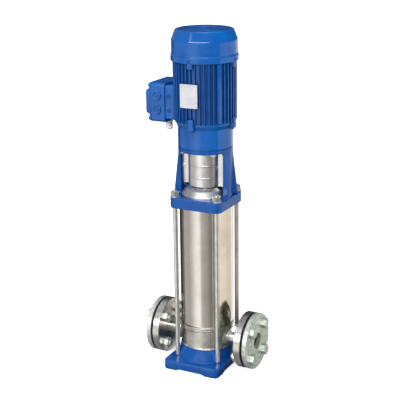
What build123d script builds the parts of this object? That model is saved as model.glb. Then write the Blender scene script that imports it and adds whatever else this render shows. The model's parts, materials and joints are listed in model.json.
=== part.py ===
from build123d import *
import math
import os

os.makedirs("parts", exist_ok=True)

# Vertical in-line multistage pump with a flange-mounted electric motor on top.
# Millimetres. +Z is up along the shaft, X runs from the suction port (-X) to the
# discharge port (+X), and the origin is the middle of the base's underside.

# ---------------------------------------------------------------- fits
fit = 0.05                    # radial clearance of a located or threaded piece
soft_fit = 0.3                # clearance around soft and loosely placed pieces
run_fit = 0.08                # radial running clearance in bushes and bearings

# ---------------------------------------------------------------- base casting
base_x = 150                  # along the ports
base_y = 199                  # across the ports
base_corner = 12
base_plate = 24               # top of the rectangular plate
foot_rise = 4                 # the underside is raised this much between the feet
foot_size = 36
base_seat = 52                # top of the neck, where the pump body sits
neck_foot_x = 70              # half sizes of the neck where it meets the plate
neck_foot_y = 84
neck_land = 2                 # straight rim at the top of the neck
base_edge = 2.5               # rounding of the plate's upper edge
anchor_x = 100                # anchor hole spacing
anchor_y = 172
anchor_r = 6.5
spigot_depth = 20             # how far the pump body goes down into the base

# ---------------------------------------------------------------- pump body
body_inset = 1.4              # the body's wall stands this far inside the sleeve's
body_height = 44              # from the base seat to the clamping ring
ring_height = 16
ring_proud = 1.2              # the clamping ring stands this far outside the sleeve
body_wall = 4
spigot_r = 58
locating_height = 11          # spigot of a cover inside the sleeve
floor_wall = 4
inlet_wall = 3                # wall of the inlet chamber inside the body
inlet_r = 46                  # outer radius of the inlet chamber
inlet_top = 104               # top of the inlet chamber wall

# ---------------------------------------------------------------- ports and flanges
port_z = 75
face_to_face = 249            # between the two gasket faces of the pump
port_bore = 18.5
neck_r = 23
collar_r = 38
collar_thick = 5.5
collar_proud = 3              # how far the collar stands out of its loose flange
flange_r = 70
flange_thick = 18
flange_pcd = 100
flange_hole_r = 9
gasket_thick = 2.5
gasket_r = 69
gasket_bore = 21
counter_thick = 12
counter_bore = 19.5           # inside radius of the pipe thread
flange_edge = 1

# ---------------------------------------------------------------- flange bolting
bolt_r = 7.95
bolt_af = 24
bolt_head = 10
nut_height = 13
bolt_beyond_nut = 5

# ---------------------------------------------------------------- sleeve and tie rods
sleeve_r = 65.7
sleeve_wall = 2
sleeve_length = 303
rod_spacing = 111.6
rod_r = 6
rod_thread_depth = 19         # in the base
washer_r = 12
washer_thick = 2.5
rod_nut_af = 19
rod_nut_height = 10.8
rod_beyond_nut = 5

# ---------------------------------------------------------------- head and shaft seal
rim_thick = 3                 # clamped rim of each cover
rim_clear = 0.3               # between a rim and the pocket in the lantern
head_spigot = 12              # depth of the head plate inside the sleeve
seal_chamber_r = 24
housing_rise = 26             # plate of the seal housing above its rim
housing_foot_r = 45.5         # foot of the steep cone on top of the seal housing
housing_top_r = 35
housing_dish = 10             # rise of the shallow cone outside it
housing_cone = 22
housing_land = 4
seat_r = 20
seat_height = 8
seal_ring_height = 6
vent_r = 4
vent_af = 10
vent_head = 7
vent_gap = 0.6                # between the vent plug's corners and the lantern's bore
drain_r = 8.3
drain_af = 17
drain_head = 8
drain_z = 74

# ---------------------------------------------------------------- lantern
rod_margin = 12.9             # tie rod's axis to the edge of the square flange
lantern_corner = 17.5
lantern_flange = 26.5
lantern_height = 122          # from the square flange to the motor seam
lantern_r = 66                # outside of the round part
lantern_wall = 5.5
lantern_step = 0.5            # the bore below the windows is this much smaller
pocket_depth = 6 + 2          # two rims and the end of the sleeve
leg_half_angle = 21           # a leg covers this much each side of the X axis
rib_angle = 4.5               # thickness of a leg's edge rib
rib_flare = 77.7              # radius of the edge ribs at their foot
top_plate = 11
boss_half = 12                # half thickness of the rib that carries the guards
boss_depth = 11
rod_hole_r = 6.6
lantern_edge = 2.5

# ---------------------------------------------------------------- coupling and guard
guard_r = 42                  # about the shaft
guard_sheet = 1
guard_gap = 2.5               # left above and below the guard
guard_inset = 2               # from the lantern's inside to the end of a wing
guard_bead = 0.6              # height of the two stiffening beads
guard_screw_r = 2
guard_screw_head_r = 4
guard_screw_head = 2.4
guard_screw_length = 9
coupling_r = 29
coupling_gap = 1.5            # between the two halves
coupling_length = 74
coupling_top_gap = 12         # under the motor flange
coupling_screw_r = 4
coupling_screw_head_r = 6.5
coupling_screw_head = 8
coupling_screw_reach = 14     # into the half behind
coupling_screw_x = 19.5
coupling_seat_y = 13          # where the screw heads sit

# ---------------------------------------------------------------- stage stack
stage_pitch = 27
stack_gap = 9.2               # between the stages and the sleeve
stack_wall = 2
bowl_floor = 3
eye_r = 24
neck_ring_wall = 1.7
suction_bowl_height = 8
discharge_min = 20
impeller_r = 46
impeller_height = 12
impeller_lift = 5             # impeller above the floor of its bowl
shroud = 1.6
hub_r = 12
blades = 6
vanes = 8
bush_r = 16
spider_r = 20
pump_shaft_r = 8
shaft_below = 24              # shaft below the top of the inlet chamber
shaft_nut_af = 24
shaft_nut_height = 10

# ---------------------------------------------------------------- motor
seam_spigot_r = 47.5          # register of the motor flange
seam_spigot = 4
motor_flange_pcd = 110
flange_bolt_r = 4
flange_bolt_af = 13
flange_bolt_head = 5.5
flange_bolt_reach = 12
end_shield_r = 66
end_shield_height = 62
end_shield_floor = 14
end_shield_wall = 7
bearing_r = 26
bearing_bore = 12.5
bearing_width = 15
bearing_ring = 3.2
bearing_balls = 9
motor_shaft_r = 12
motor_shaft_reach = 50        # below the motor flange
housing_length = 144
housing_r = 70.5              # at the root of the cooling fins
housing_wall = 5
fin_height = 5.5
fin_thick = 3.4
fin_pitch = 8.5               # degrees
fins_to_rail = 5              # fins each side of the front, before the wide rail
rail_angle = 53.5
rail_width = 10.5
lug_proud = 3.2               # how far a screw lug stands out of the fins
lug_width = 15
lug_height = 13
lug_screw_inset = 7.4         # from the lug's outside to its screw
lug_screw_thread_r = 3
lug_screw_af = 8
lug_screw_head = 4
lug_screw_grip = 10           # thread in the stator housing
core_bore = 42
core_length = 92
air_gap = 0.5                 # between the stator core and the rotor
winding_height = 14
rotor_length = 96

# ---------------------------------------------------------------- fan cover
cover_lip_r = 80.5
cover_lip = 15.5
cover_step = 2.1              # the wall stands this far inside the lip
cover_wall = 1.6
cover_shoulder = 49.5         # height of the shoulder above the motor housing
cover_slope = 9.2             # how far the shoulder runs in
cover_height = 72.5
cover_edge = 3
cover_screw_length = 5
cover_screw_r = 2.5
cover_screw_head_r = 4.5
cover_screw_head = 2.6
grille_rings = 5
grille_slot = 4
grille_pitch = 10.5
grille_bridge = 10
fan_shield = 12               # thickness of the fan end shield
fan_gap = 10                  # between the fan and the cover's wall
fan_blade_height = 24
fan_blades = 8
fan_hub_r = 18

# ---------------------------------------------------------------- terminal box
box_y = 97.6
box_low = 55.5                # box floor above the motor seam
box_height = 94.5
box_standoff = 7              # from the tips of the fins to the box's back wall
box_depth = 37
box_wall = 4
box_corner = 8
saddle_inset = 3
lid_border = 6.5
lid_rise = 10.5
lid_raised_y = 92
lid_raised_z = 60
lid_wall = 2.5
entry_pitch = 34
entry_r = 9.5
entry_head_r = 11.6
entry_head = 3.5
gland_r = 7.6
gland_nut_r = 9
gland_af = 18
gland_height = 27
box_screw_r = 2.5
box_screw_head_r = 4.5
box_screw_head = 3
plate_width = 45
plate_height = 55.8
plate_thick = 0.8
plate_standoff = 4            # from the tips of the fins to the plate
plate_x = -1.5                # middle of the nameplate
plate_z = 131.2               # middle of the nameplate above the motor seam
rivet_r = 1.6
rivet_inset = 4

# ---------------------------------------------------------------- radii that follow from others
body_r = sleeve_r - body_inset
ring_r = sleeve_r + ring_proud
stack_r = sleeve_r - sleeve_wall - stack_gap
lantern_inner = lantern_r - lantern_wall
lantern_bore = lantern_inner - lantern_step
vent_place = lantern_bore - rim_clear - vent_gap - vent_af / 2 / math.cos(math.radians(30))
vent_spot_r = vent_af / 2 / math.cos(math.radians(30)) + soft_fit
guard_wing = lantern_inner - guard_inset
housing_bore = housing_r - housing_wall
fin_r = housing_r + fin_height
lug_r = fin_r + lug_proud
lug_screw_r = lug_r - lug_screw_inset
core_r = housing_bore - fit
rotor_r = core_bore - air_gap
cover_r = cover_lip_r - cover_step
cover_top_r = cover_r - cover_slope
fan_r = cover_r - cover_wall - fan_gap
box_back = fin_r + box_standoff
plate_y = fin_r + plate_standoff

# ---------------------------------------------------------------- levels along the shaft
ring_low = base_seat + body_height
sleeve_low = ring_low + ring_height
sleeve_top = sleeve_low + sleeve_length
housing_low = sleeve_top + rim_thick
pocket_top = housing_low + rim_thick
lantern_low = pocket_top - pocket_depth
lantern_deck = lantern_low + lantern_flange
seam = lantern_deck + lantern_height
head_low = sleeve_top - head_spigot
housing_deck = housing_low + housing_rise
cone_top = housing_deck + housing_cone
housing_top = cone_top + housing_land
shield_top = seam + end_shield_height
motor_top = shield_top + housing_length
bearing_low = seam + end_shield_floor
fan_bearing_low = motor_top - bearing_width
box_floor = seam + box_low
box_middle = box_floor + box_height / 2
stack_low = inlet_top + suction_bowl_height
stages = int((head_low - stack_low - discharge_min) // stage_pitch)
stack_top = stack_low + stages * stage_pitch
rod_place = rod_spacing / 2
lantern_half = rod_place + rod_margin
coupling_top = seam - coupling_top_gap
coupling_low = coupling_top - coupling_length
motor_shaft_low = seam - motor_shaft_reach
pump_shaft_top = motor_shaft_low - 5
shaft_low = inlet_top - shaft_below
port_face = face_to_face / 2
flange_front = port_face - collar_proud
flange_back = flange_front - flange_thick
counter_back = port_face + gasket_thick
counter_face = counter_back + counter_thick
collar_back = port_face - collar_thick


# ---------------------------------------------------------------- shape helpers
def turned(*outline):
    """Solid of revolution about Z from a closed outline of (radius, height) points."""
    corners = [(radius, 0, height) for radius, height in outline]
    return revolve(make_face(Polyline(*corners, close=True)), Axis.Z)


def tube(outer, inner, low, high):
    """Upright tube between two heights."""
    return turned((inner, low), (outer, low), (outer, high), (inner, high))


def rod(radius, low, high):
    """Upright cylinder between two heights."""
    return Pos(0, 0, low) * Cylinder(radius, high - low, align=(Align.CENTER, Align.CENTER, Align.MIN))


def block(x0, x1, y0, y1, z0, z1):
    """Box between two corners."""
    middle = Pos((x0 + x1) / 2, (y0 + y1) / 2, (z0 + z1) / 2)
    return middle * Box(x1 - x0, y1 - y0, z1 - z0)


def along_x(piece):
    """Turn a piece made along Z so that it lies along +X."""
    return Rot(0, 90, 0) * piece


def along_front(piece):
    """Turn a piece made along Z so that it points to the front, -Y."""
    return Rot(90, 0, 0) * piece


def around(piece, count, first=0):
    """Copies of a piece spaced evenly about the shaft."""
    return [Rot(0, 0, first + i * 360 / count) * piece for i in range(count)]


def hexagon(across_flats, low, high, crown=True):
    """Hexagon head or nut with its outer corners turned off."""
    half = across_flats / 2
    prism = Pos(0, 0, low) * extrude(RegularPolygon(half, 6, major_radius=False), high - low)
    if not crown:
        return prism
    corner = half / math.cos(math.radians(30))
    cut = (corner - half) * 0.7
    barrel = turned((0, low), (corner, low), (corner, high - cut), (half * 0.96, high), (0, high))
    return prism & barrel


def screw(shank_r, length, head_r, head):
    """Round-head screw: head above Z = 0, shank below, with a cross slot."""
    edge = head * 0.35
    body = turned((0, -length), (shank_r, -length), (shank_r, 0), (head_r, 0),
                  (head_r, head - edge), (head_r - edge, head), (0, head))
    slot = Box(head_r * 1.1, head_r * 0.28, head * 0.9)
    cross = slot + Rot(0, 0, 90) * slot
    return body - Pos(0, 0, head) * cross


def rounded_block(x0, x1, y0, y1, z0, z1, corner, edge=0.0):
    """Upright block with round corners and, if asked, a rounded upper edge."""
    outline = Pos((x0 + x1) / 2, (y0 + y1) / 2, z0) * RectangleRounded(x1 - x0, y1 - y0, corner)
    body = extrude(outline, z1 - z0)
    if edge > 0:
        body = fillet(body.edges().group_by(Axis.Z)[-1], edge)
    return body


def group(pieces):
    """Separate solids that share one node."""
    return Compound(children=list(pieces))


def four_corners(x, y):
    """The corners of a rectangle about the shaft."""
    return [(sx * x, sy * y) for sx in (-1, 1) for sy in (-1, 1)]


def save(node, piece):
    export_step(piece, f"parts/{node}.step")


# ---------------------------------------------------------------- base and pump body
def base():
    plate = rounded_block(-base_x / 2, base_x / 2, -base_y / 2, base_y / 2,
                          foot_rise, base_plate, base_corner, base_edge)
    foot = extrude(RectangleRounded(foot_size, foot_size, base_corner), foot_rise)
    feet = [Pos(x, y, 0) * foot
            for x, y in four_corners((base_x - foot_size) / 2, (base_y - foot_size) / 2)]
    low = Pos(0, 0, base_plate) * Ellipse(neck_foot_x, neck_foot_y)
    high = Pos(0, 0, base_seat - neck_land) * Circle(ring_r)
    neck = loft([low, high]) + rod(ring_r, base_seat - neck_land, base_seat)
    casting = plate + feet + neck
    casting -= rod(spigot_r + soft_fit, base_seat - spigot_depth - floor_wall, base_seat + 1)
    for x, y in four_corners(rod_place, rod_place):
        low_end = base_plate - rod_thread_depth
        casting -= Pos(x, y, 0) * rod(rod_r + fit, low_end, base_seat)
    for x, y in four_corners(anchor_x / 2, anchor_y / 2):
        casting -= Pos(x, y, 0) * rod(anchor_r, -1, base_seat)
    return casting


def pump_body():
    bottom = base_seat - spigot_depth
    wall_r = body_r - body_wall
    locating_r = sleeve_r - sleeve_wall - soft_fit
    locating_top = sleeve_low + locating_height
    groove_low = sleeve_low + locating_height / 2 - 1.5
    shell = turned((0, bottom), (spigot_r, bottom), (spigot_r, base_seat), (body_r, base_seat),
                   (body_r, ring_low - 1.2), (ring_r - 0.8, ring_low), (ring_r, ring_low + 0.8),
                   (ring_r, sleeve_low), (locating_r, sleeve_low), (locating_r, groove_low),
                   (locating_r - 2, groove_low), (locating_r - 2, groove_low + 3),
                   (locating_r, groove_low + 3), (locating_r, locating_top),
                   (wall_r - 1.5, locating_top), (wall_r - 1.5, sleeve_low), (wall_r, sleeve_low),
                   (wall_r, base_seat + floor_wall), (spigot_r - floor_wall, base_seat),
                   (spigot_r - floor_wall, bottom + floor_wall), (0, bottom + floor_wall))
    inlet = tube(inlet_r, inlet_r - inlet_wall, bottom + floor_wall, inlet_top)
    reach = collar_back
    neck = along_x(rod(neck_r, 0, reach))
    collar = along_x(rod(collar_r, collar_back, port_face))
    discharge = Pos(0, 0, port_z) * (neck + collar)
    suction = Rot(0, 0, 180) * discharge
    hollow = rod(wall_r - 0.5, base_seat + floor_wall, sleeve_low)
    discharge -= hollow
    suction -= rod(inlet_r - inlet_wall, bottom, sleeve_low)
    body = shell + inlet + discharge + suction
    outlet = Pos(inlet_r + 1, 0, port_z) * along_x(rod(port_bore, 0, port_face))
    intake = Rot(0, 0, 180) * Pos(inlet_r / 2, 0, port_z) * along_x(rod(port_bore, 0, port_face))
    body = body - outlet - intake
    body += Pos(0, body_r - 3, drain_z) * along_front(Pos(0, 0, -5) * Cylinder(drain_r + 4, 6))
    return body - Pos(0, body_r, drain_z) * along_front(Cylinder(drain_r + fit, 30))


def drain_plug():
    plug = hexagon(drain_af, 0, drain_head) + rod(drain_af * 0.62, 0, 1.5) + rod(drain_r, -9, 0)
    return Pos(0, body_r + 5, drain_z) * Rot(-90, 0, 0) * plug


# ---------------------------------------------------------------- port flanges, drawn for +X
def flange_holes():
    """The four bolt holes straddle the middle of the flange."""
    hole = Pos(flange_pcd / 2, 0, 0) * Cylinder(flange_hole_r, 400)
    return Pos(0, 0, port_z) * along_x(Part() + around(hole, 4, 45))


def flange_disc(radius, bore, back, face, edge):
    """Flange ring about the port axis with both outer edges chamfered."""
    disc = turned((bore, back), (radius - edge, back), (radius, back + edge),
                  (radius, face - edge), (radius - edge, face), (bore, face))
    return Pos(0, 0, port_z) * along_x(disc) - flange_holes()


def loose_flange():
    ring = flange_disc(flange_r, neck_r + soft_fit, flange_back, flange_front, flange_edge)
    recess = along_x(rod(collar_r + soft_fit, collar_back, port_face))
    return ring - Pos(0, 0, port_z) * recess


def gasket():
    return flange_disc(gasket_r, gasket_bore, port_face, counter_back, 0.2)


def counter_flange():
    ring = flange_disc(flange_r, counter_bore, counter_back, counter_face, flange_edge)
    mouth = turned((0, counter_face - 1.5), (counter_bore, counter_face - 1.5),
                   (counter_bore + 1.5, counter_face), (counter_bore + 1.5, counter_face + 1),
                   (0, counter_face + 1))
    return ring - Pos(0, 0, port_z) * along_x(mouth)


def at_flange_holes(piece):
    """A piece made about Z, copied to the bolt holes of the discharge flange."""
    copies = around(Pos(flange_pcd / 2, 0, 0) * piece, 4, 45)
    return [Pos(0, 0, port_z) * along_x(copy) for copy in copies]


def flange_bolts():
    tip = flange_back - nut_height - bolt_beyond_nut
    bolt = rod(bolt_r, tip, counter_face) + hexagon(bolt_af, counter_face, counter_face + bolt_head)
    return at_flange_holes(bolt)


def flange_nuts():
    body = Rot(180, 0, 0) * hexagon(bolt_af, -flange_back, -flange_back + nut_height)
    return at_flange_holes(body - rod(bolt_r + fit, 0, flange_back + 1))


def both_sides(pieces):
    """The pieces of the discharge side and their copies on the suction side."""
    pieces = list(pieces)
    return pieces + [Rot(0, 0, 180) * piece for piece in pieces]


# ---------------------------------------------------------------- sleeve, tie rods, head
def outer_sleeve():
    return tube(sleeve_r, sleeve_r - sleeve_wall, sleeve_low, sleeve_top)


def sleeve_o_rings():
    groove_r = sleeve_r - sleeve_wall - soft_fit - 2
    lower = sleeve_low + locating_height / 2
    upper = sleeve_top - head_spigot / 2
    ring = Torus(groove_r + 1.15, 1.0)
    return group([Pos(0, 0, lower) * ring, Pos(0, 0, upper) * ring])


def tie_rods():
    low_end = base_plate - rod_thread_depth
    high_end = lantern_deck + washer_thick + rod_nut_height + rod_beyond_nut
    edge = 1
    bar = turned((0, low_end), (rod_r, low_end), (rod_r, high_end - edge), (rod_r - edge, high_end),
                 (0, high_end))
    return group([Pos(x, y, 0) * bar for x, y in four_corners(rod_place, rod_place)])


def tie_rod_washers():
    ring = tube(washer_r, rod_r + soft_fit, lantern_deck, lantern_deck + washer_thick)
    return group([Pos(x, y, 0) * ring for x, y in four_corners(rod_place, rod_place)])


def tie_rod_nuts():
    low = lantern_deck + washer_thick
    nut = hexagon(rod_nut_af, low, low + rod_nut_height)
    nut -= rod(rod_r + fit, low - 1, low + rod_nut_height + 1)
    return group([Pos(x, y, 0) * Rot(0, 0, 15) * nut
                  for x, y in four_corners(rod_place, rod_place)])


def head_plate():
    locating_r = sleeve_r - sleeve_wall - soft_fit
    groove_low = sleeve_top - head_spigot / 2 - 1.5
    return turned((seal_chamber_r, head_low), (locating_r, head_low), (locating_r, groove_low),
                  (locating_r - 2, groove_low), (locating_r - 2, groove_low + 3),
                  (locating_r, groove_low + 3), (locating_r, sleeve_top), (ring_r, sleeve_top),
                  (ring_r, housing_low), (seal_chamber_r, housing_low))


def seal_housing():
    boss_r = lantern_bore - rim_clear
    seat_low = housing_top - 16 - seat_height
    shaft_way = pump_shaft_r + 1
    body = turned((seal_chamber_r, housing_low), (ring_r, housing_low), (ring_r, pocket_top),
                  (boss_r, pocket_top), (boss_r, housing_deck - 1), (boss_r - 0.8, housing_deck),
                  (housing_foot_r + 1, housing_deck + housing_dish - 0.7),
                  (housing_foot_r - 0.5, housing_deck + housing_dish), (housing_top_r, cone_top),
                  (housing_top_r, housing_top - 1), (housing_top_r - 1, housing_top),
                  (shaft_way, housing_top), (shaft_way, seat_low + seat_height),
                  (seat_r + fit, seat_low + seat_height), (seat_r + fit, seat_low),
                  (seal_chamber_r, seat_low))
    body -= Pos(0, vent_place, 0) * rod(vent_spot_r, housing_deck, housing_top)
    return body - Pos(0, vent_place, 0) * rod(vent_r + fit, housing_low + 4, housing_top)


def seal_seat():
    low = housing_top - 16 - seat_height
    return tube(seat_r, pump_shaft_r + 1.5, low, low + seat_height)


def seal_face_ring():
    high = housing_top - 16 - seat_height
    return tube(seat_r - 3, pump_shaft_r + fit, high - seal_ring_height, high - 0.02)


def seal_bellows():
    """Rubber bellows that presses the rotating face up: four round folds."""
    high = housing_top - 16 - seat_height - seal_ring_height
    fold = 4.5
    folds = 4
    outline = [(pump_shaft_r + fit, high - folds * fold), (14, high - folds * fold)]
    for i in range(folds):
        foot = high - (folds - i) * fold
        outline += [(18, foot + fold * 0.3), (18, foot + fold * 0.7), (14, foot + fold)]
    outline += [(pump_shaft_r + fit, high)]
    return turned(*outline)


def vent_plug():
    plug = hexagon(vent_af, 0, vent_head) + rod(vent_r, -10, 0)
    return Pos(0, vent_place, housing_deck) * plug


# ---------------------------------------------------------------- lantern, coupling, guard
def sector(half_angle, first, reach, low, high):
    """Upright wedge that starts at the shaft and covers an angle about +X."""
    a0 = math.radians(first - half_angle)
    a1 = math.radians(first + half_angle)
    wedge = Polyline((0, 0), (reach * math.cos(a0), reach * math.sin(a0)),
                     (reach * math.cos(a1), reach * math.sin(a1)), close=True)
    return Pos(0, 0, low) * extrude(make_face(wedge), high - low)


def lantern_leg():
    """One leg, on the +X side: a round web with a flared rib on each edge."""
    top = seam - top_plate
    low = lantern_deck - 1
    web = tube(lantern_r, lantern_inner, low, top + 1) & sector(leg_half_angle, 0, 200, low, top + 1)
    flare = turned((lantern_inner, low), (rib_flare, low), (rib_flare, lantern_deck + 6),
                   (lantern_r, top), (lantern_r, top + 1), (lantern_inner, top + 1))
    side = leg_half_angle - rib_angle / 2
    ribs = [flare & sector(rib_angle / 2, angle, 200, low, top + 1) for angle in (-side, side)]
    boss = block(lantern_inner - boss_depth, lantern_inner + 3, -boss_half, boss_half,
                 housing_deck + housing_dish + 2, top + 1)
    return web + ribs + boss


def lantern():
    flange = rounded_block(-lantern_half, lantern_half, -lantern_half, lantern_half,
                           lantern_low, lantern_deck, lantern_corner, lantern_edge)
    cap = turned((lantern_inner - 1, seam - top_plate), (lantern_r - 1.5, seam - top_plate),
                 (lantern_r, seam - top_plate + 1.5), (lantern_r, seam), (lantern_inner - 1, seam))
    cap += tube(lantern_r - 4, seam_spigot_r + fit, seam - top_plate, seam)
    leg = lantern_leg()
    casting = flange + cap + leg + Rot(0, 0, 180) * leg
    casting -= rod(lantern_bore, lantern_low - 1, housing_deck + 1)
    casting -= rod(ring_r + rim_clear, lantern_low - 1, pocket_top)
    high_end = lantern_deck + washer_thick + rod_nut_height + rod_beyond_nut
    for x, y in four_corners(rod_place, rod_place):
        casting -= Pos(x, y, 0) * rod(rod_hole_r, lantern_low - 1, lantern_deck + 1)
        casting -= Pos(x, y, 0) * rod(washer_r + 1, lantern_deck, high_end)
    bolt_hole = Pos(motor_flange_pcd / 2, 0, 0) * rod(flange_bolt_r + 0.5, seam - top_plate - 1, seam + 1)
    casting -= around(bolt_hole, 4, 45)
    for x, turn in guard_screw_places():
        hole = along_front(Pos(0, 0, boss_half - guard_screw_length) * rod(guard_screw_r + fit, -1, 20))
        casting -= Rot(0, 0, turn) * Pos(x, 0, guard_middle()) * hole
    return casting


def guard_middle():
    return (lantern_deck + seam - top_plate) / 2 + 14


def guard_screw_places():
    """(distance along X, turn about the shaft) of each guard screw."""
    return [(x, turn) for turn in (0, 180) for x in (-(lantern_inner - 7), lantern_inner - 7)]


def guard_half():
    """Front half of the coupling guard: a bulged sheet with two flat wings."""
    low = housing_top - guard_gap - 2
    high = seam - top_plate - 2
    inner = guard_r - guard_sheet
    wing_start = math.sqrt(inner ** 2 - boss_half ** 2)
    outline = [(inner, low), (guard_r, low)]
    for level in (0.26, 0.62):
        middle = low + (high - low) * level
        outline += [(guard_r, middle - 2), (guard_r + guard_bead, middle - 0.8),
                    (guard_r + guard_bead, middle + 0.8), (guard_r, middle + 2)]
    outline += [(guard_r, high), (inner, high)]
    wide = 2 * guard_r
    bulge = turned(*outline) & block(-wide, wide, -wide, -boss_half, low, high)
    wing = block(wing_start, guard_wing, -boss_half - guard_sheet, -boss_half, low, high)
    sheet = bulge + wing + mirror(wing, Plane.YZ)
    for x, turn in guard_screw_places()[:2]:
        sheet -= Pos(x, -boss_half, guard_middle()) * along_front(Cylinder(guard_screw_r + 0.4, 10))
    return sheet


def guard_screws():
    place = boss_half + guard_sheet
    piece = screw(guard_screw_r, guard_screw_length, guard_screw_head_r, guard_screw_head)
    piece = along_front(Pos(0, 0, place) * piece)
    return group([Rot(0, 0, turn) * Pos(x, 0, guard_middle()) * piece
                  for x, turn in guard_screw_places()])


def coupling_screw_places():
    low = coupling_low + 15
    high = coupling_top - 15
    return [(x, z) for x in (-coupling_screw_x, coupling_screw_x) for z in (low, high)]


def coupling_half(front=True):
    """Half shell that clamps the pump shaft below and the motor shaft above."""
    edge = 1.5
    wide = 2 * coupling_r
    body = turned((0, coupling_low), (coupling_r - edge, coupling_low), (coupling_r, coupling_low + edge),
                  (coupling_r, coupling_top - edge), (coupling_r - edge, coupling_top),
                  (0, coupling_top))
    body &= block(-wide, wide, -wide, -coupling_gap / 2, coupling_low - 1, coupling_top + 1)
    body -= rod(pump_shaft_r + fit, coupling_low - 1, motor_shaft_low - 2)
    body -= rod(motor_shaft_r + fit, motor_shaft_low - 2, coupling_top + 1)
    for x, z in coupling_screw_places():
        through = coupling_screw_r + (0.5 if front else fit)
        body -= Pos(x, 0, z) * along_front(rod(through, 0, wide))
        if front:
            body -= Pos(x, 0, z) * along_front(rod(coupling_screw_head_r + 0.7, coupling_seat_y, wide))
    return body if front else Rot(0, 0, 180) * body


def coupling_screws():
    piece = rod(coupling_screw_r, -coupling_screw_reach, coupling_seat_y)
    piece += rod(coupling_screw_head_r, coupling_seat_y, coupling_seat_y + coupling_screw_head)
    piece -= hexagon(coupling_screw_r * 1.5, coupling_seat_y + coupling_screw_head / 2,
                     coupling_seat_y + 2 * coupling_screw_head, crown=False)
    return group([Pos(x, 0, z) * along_front(piece) for x, z in coupling_screw_places()])


# ---------------------------------------------------------------- stage stack and pump shaft
def spider(low, high, reach):
    """Bush carrier on four arms."""
    hub = tube(spider_r, bush_r + fit, low, high)
    arm = block(spider_r - 1, reach, -2.5, 2.5, low, high)
    return hub + around(arm, 4, 45)


def suction_bowl():
    inlet_fit = inlet_r - inlet_wall - soft_fit
    ring = turned((inlet_fit - 3, inlet_top - 5), (inlet_fit, inlet_top - 5), (inlet_fit, inlet_top),
                  (stack_r, inlet_top), (stack_r, stack_low), (inlet_fit - 3, stack_low))
    return ring + spider(inlet_top - 5, stack_low, inlet_fit - 1)


def stage_bowl():
    """One stage: floor with the eye, outer wall, and return vanes above the impeller."""
    inner = stack_r - stack_wall
    shell = turned((eye_r, 0), (stack_r, 0), (stack_r, stage_pitch), (inner, stage_pitch),
                   (inner, bowl_floor), (eye_r, bowl_floor))
    top = impeller_lift + impeller_height + 2
    vane = block(hub_r + 18, inner + 0.5, -1, 1, top, stage_pitch)
    ring = tube(hub_r + 20, hub_r + 18, top, stage_pitch)
    return shell + ring + around(vane, vanes)


def neck_ring():
    """Wear ring in the eye, around the impeller's skirt."""
    outer = eye_r - fit
    return turned((outer - neck_ring_wall + fit, 0.2), (outer, 0.2), (outer, bowl_floor),
                  (outer + 2, bowl_floor), (outer + 2, bowl_floor + 1),
                  (outer - neck_ring_wall + fit, bowl_floor + 1))


def impeller():
    """Closed impeller: skirt around the eye, two shrouds, blades and hub."""
    low = impeller_lift
    high = impeller_lift + impeller_height
    skirt_r = eye_r - neck_ring_wall - run_fit - fit
    lower = turned((skirt_r - 1.5, 0.5), (skirt_r, 0.5), (skirt_r, low), (impeller_r, low),
                   (impeller_r, low + shroud), (skirt_r - 1.5, low + shroud))
    upper = tube(impeller_r, hub_r - 1, high - shroud, high)
    hub = tube(hub_r, pump_shaft_r + fit, low, high)
    blade = block(skirt_r - 2, impeller_r - 1, -0.9, 0.9, low + shroud / 2, high - shroud / 2)
    swept = Pos(skirt_r - 2, 0, 0) * Rot(0, 0, -35) * Pos(2 - skirt_r, 0, 0) * blade
    swept &= rod(impeller_r - 0.5, low, high)
    return lower + upper + hub + around(swept, blades)


def up_the_stack(piece):
    return group([Pos(0, 0, stack_low + i * stage_pitch) * piece for i in range(stages)])


def discharge_bowl():
    """Windowed ring that carries the top bush and takes the clamping load."""
    inner = stack_r - stack_wall
    ring = tube(stack_r, inner, stack_top, head_low)
    window = block(0, stack_r + 5, -14, 14, stack_top + 5, head_low - 4)
    ring -= Part() + around(window, 6, 30)
    return ring + spider(stack_top, stack_top + 8, inner + 0.5)


def guide_bushes():
    inner = hub_r + run_fit
    lower = tube(bush_r, inner, inlet_top - 5, stack_low)
    upper = tube(bush_r, inner, stack_top, stack_top + 8)
    return group([lower, upper])


def pump_shaft():
    edge = 1
    return turned((0, shaft_low), (pump_shaft_r - edge, shaft_low), (pump_shaft_r, shaft_low + edge),
                  (pump_shaft_r, pump_shaft_top - edge), (pump_shaft_r - edge, pump_shaft_top),
                  (0, pump_shaft_top))


def sleeve_stack_low():
    return shaft_low + 3 + shaft_nut_height


def sleeve_stack_top():
    return stack_top + 14


def shaft_sleeves():
    """Spacer sleeves that hold the impellers apart on the shaft."""
    levels = [sleeve_stack_low()]
    for i in range(stages):
        low = stack_low + i * stage_pitch + impeller_lift
        levels += [low, low + impeller_height]
    levels.append(sleeve_stack_top())
    pairs = zip(levels[0::2], levels[1::2])
    return group([tube(hub_r, pump_shaft_r + fit, low, high) for low, high in pairs])


def shaft_nuts():
    nut = hexagon(shaft_nut_af, 0, shaft_nut_height) - rod(pump_shaft_r + fit, -1, 20)
    lower = Pos(0, 0, sleeve_stack_low()) * Rot(180, 0, 0) * nut
    upper = Pos(0, 0, sleeve_stack_top()) * nut
    return group([lower, upper])


# ---------------------------------------------------------------- motor
def lug(low, high):
    """Screw lug that stands out of the motor on the +X side."""
    body = block(housing_bore + 2, lug_r - 3, -lug_width / 2, lug_width / 2, low, high)
    nose = Pos(lug_r - 3, 0, 0) * rod(3, low, high)
    return body + block(lug_r - 4, lug_r, -lug_width / 2 + 3, lug_width / 2 - 3, low, high) \
        + Pos(0, lug_width / 2 - 3, 0) * nose + Pos(0, 3 - lug_width / 2, 0) * nose


def lug_screw_holes(clearance, low, high):
    hole = Pos(lug_screw_r, 0, 0) * rod(lug_screw_thread_r + clearance, low, high)
    return around(hole, 4)


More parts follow.
